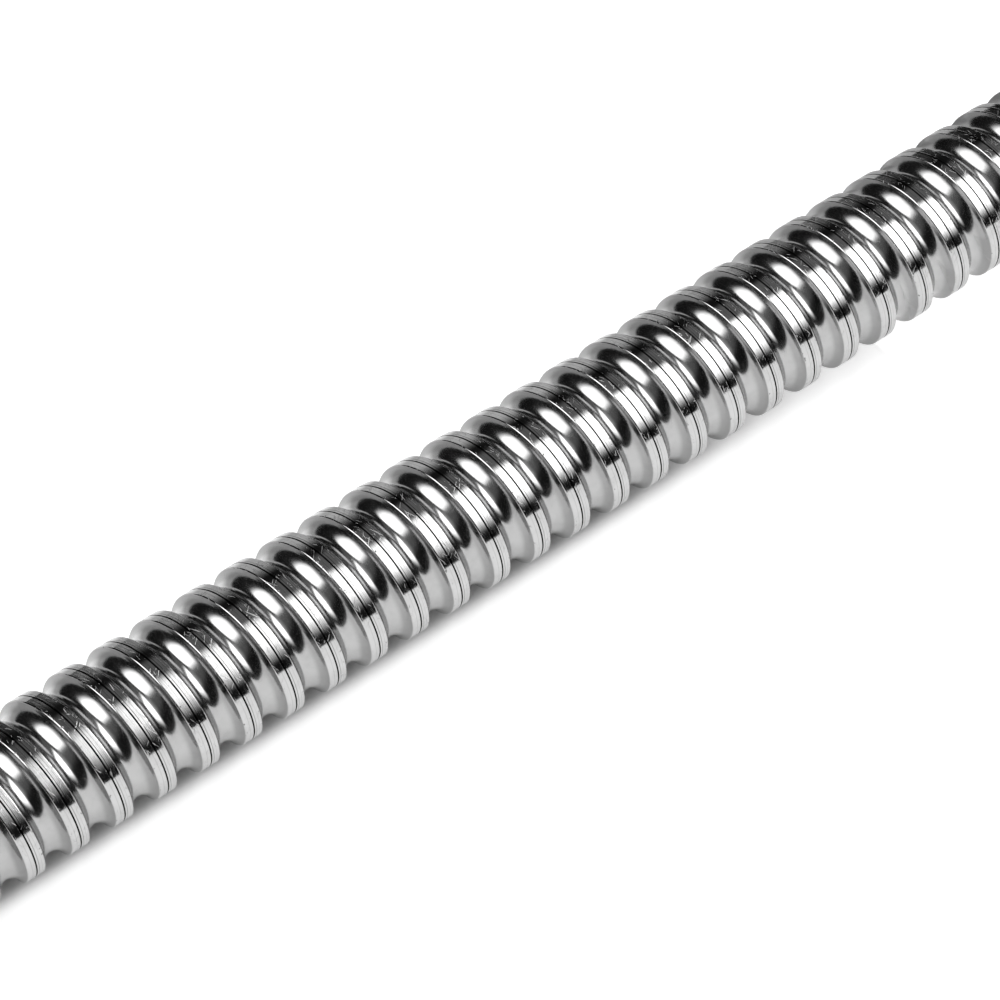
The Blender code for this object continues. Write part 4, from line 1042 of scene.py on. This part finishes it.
def set_screw():
    """The lock nut's socket set screw, and the brass pad that it presses on the thread."""
    middle = sum(LOCK_NUT) / 2
    low, high = 6.1, 7.5
    pad = lathe("brass_pad", rounded([(low, 0, 0), (low, 1.9, 0.15), (high, 1.9, 0.15), (high, 0, 0)]), 40)
    finish(stand(pad, 0, middle), "screw", "pad_brass", "lock_nut_pad", surface=BRASS)
    low, high = 7.6, LOCK_NUT_FLATS / 2 - SET_SCREW_DROP
    outline = [(low, 0, 0), (low, 1.5, 0.08), (7.95, 1.88, 0.08)]
    outline += [(high - 0.3, 1.88, 0.08), (high, 1.6, 0.08), (high, 0, 0)]
    screw = lathe("socket_set_screw", rounded(outline), 40)
    corner = hexagon_corner(2.0)
    boolean(screw, lathe("set_screw_socket", [(high - 1.3, 0), (high - 0.9, corner), (12, corner), (12, 0)], 6))
    finish(stand(screw, 0, middle), "screw", "blackened_steel", "lock_nut_set_screw", surface=BLACKENED)


def ring_points(radius, first, last, steps, middle=(0.0, 0.0)):
    """Points on an arc from a first angle to a last one."""
    angles = [first + (last - first) * i / steps for i in range(steps + 1)]
    return [(middle[0] + radius * cos(a), middle[1] + radius * sin(a)) for a in angles]


def circlip():
    """The stamped spring ring, with an eye in each of its two lugs."""
    inner = FREE_RADIUS - CIRCLIP_GROOVE_DEPTH + 0.05
    outer, tip = inner + 1.85, inner + 2.7
    first = radians(17)
    last = tau - first
    lug = 2.1 / outer
    outlines = [
        ring_points(tip, first + 0.06, first + lug, 10)
        + ring_points(outer, first + lug + 0.1, last - lug - 0.1, 80)
        + ring_points(tip, last - lug, last - 0.06, 10)
        + ring_points(inner, last, first, 80)
    ]
    for angle in (first + lug / 2, last - lug / 2):
        middle = ((tip - 1.1) * cos(angle), (tip - 1.1) * sin(angle))
        outlines.append(ring_points(0.55, 0, tau, 24, middle)[:-1])
    rows = [[(x * MM, y * MM, 0) for x, y in points] for points in outlines]
    edge = 0.08
    sheet = {"dimensions": "2D", "fill_mode": "BOTH", "extrude": ((CIRCLIP[1] - CIRCLIP[0]) / 2 - edge) * MM}
    sheet |= {"bevel_depth": edge * MM, "offset": -edge * MM, "bevel_resolution": 2}
    ring = curve_shape("spring_circlip", rows, True, **sheet)
    turned = Matrix(((0, 0, 1), (0, 1, 0), (-1, 0, 0))).to_4x4()
    ring.data.transform(Matrix.Translation((sum(CIRCLIP) / 2 * MM, 0, 0)) @ turned)
    finish(ring, "screw", "spring_steel", "circlip", surface=SPRING)


camera()
plain_picture()
studio()
stage()

THREAD, BALLS = thread_tree(), ball_tree()
ROLLED = rolled_steel()
# ground on centres: satin, with thin bright lines round the axis
JOURNAL = ground_steel("turned_and_ground_journals", "BDBCBA", 0.06, 0.2)
GROUND = ground_steel("ground_nut_bearing_steel", "BEBDBB", 0.05, 0.22)
# ground finer: brighter, with lines that hardly show
RING = ground_steel("ground_ring_bearing_steel", "C4C3C1", 0.04, 0.16)
# lapped: mirror bright
BALL_STEEL = ground_steel("lapped_ball_steel", "C9C9C8", 0.3, 0.05)
# pressed from powder: dull and open grained
SINTERED = grained("sintered_steel", "9A9894", "83817D", 0.45, 0.12, 0.03)
# blackened in hot salts: nearly black, with a soft sheen
BLACKENED = grained("blackened_steel", "2E2E30", "242426", 0.38, 0.08, 0.008)
# phosphated and oiled: dark grey and matt
SPRING = grained("phosphated_spring_steel", "4A4B4C", "3C3D3E", 0.45, 0.06, 0.008)
# cold rolled sheet: pale, with a faint unevenness
SHEET = grained("pressed_steel_sheet", "B9B8B6", "AFAEAC", 0.26, 0.2, 0.006)
# turned: yellow, with a lathe's lines
BRASS = ground_steel("turned_brass", "D3B26A", 0.08, 0.25)
# moulded: ivory with a faint cloud of glass fibres, and soft black for the wipers
CAGE = grained("glass_filled_polyamide", "C9BFA6", "BDB297", 0.45, 0.15, 0.01, metallic=0.0)
WIPER = grained("moulded_wiper_plastic", "2B2B2D", "252527", 0.42, 0.12, 0.012, metallic=0.0)

shaft()
nut_body()
lube_plug()
for number in range(CIRCUITS):
    ball_circuit(number)
    return_deflector(number)
wiper("flange_wiper", "wiper_flange_end", NUT_START)
wiper("body_wiper", "wiper_body_end", NUT_END - WIPER_THICKNESS)
for number, low, relieved in FIXED_BEARINGS:
    node = f"fixed_bearing_{number}"
    outer_ring(f"fixed_{number}_outer", f"{node}_outer_ring", FIXED_RADIUS, low, relieved)
    inner_ring(f"fixed_{number}_inner", f"{node}_inner_ring", FIXED_RADIUS, low)
    cage(f"fixed_{number}", f"{node}_ball_cage", f"fixed_cage_{number}", FIXED_RADIUS, low, 10)
outer_ring("free_outer", "free_bearing_outer_ring", FREE_RADIUS, FREE_BEARING, shielded=True)
inner_ring("free_inner", "free_bearing_inner_ring", FREE_RADIUS, FREE_BEARING)
cage("free", "free_bearing_ball_cage", "free_cage", FREE_RADIUS, FREE_BEARING, 7)
shield("shield_inside", "free_bearing_inner_shield", FREE_BEARING, False)
shield("shield_outside", "free_bearing_outer_shield", FREE_BEARING, True)
collar("spacer_inside", "inner_collar", -91.45, -86.05)
collar("spacer_outside", "outer_collar", -112.2, -107.8)
lock_nut()
set_screw()
circlip()
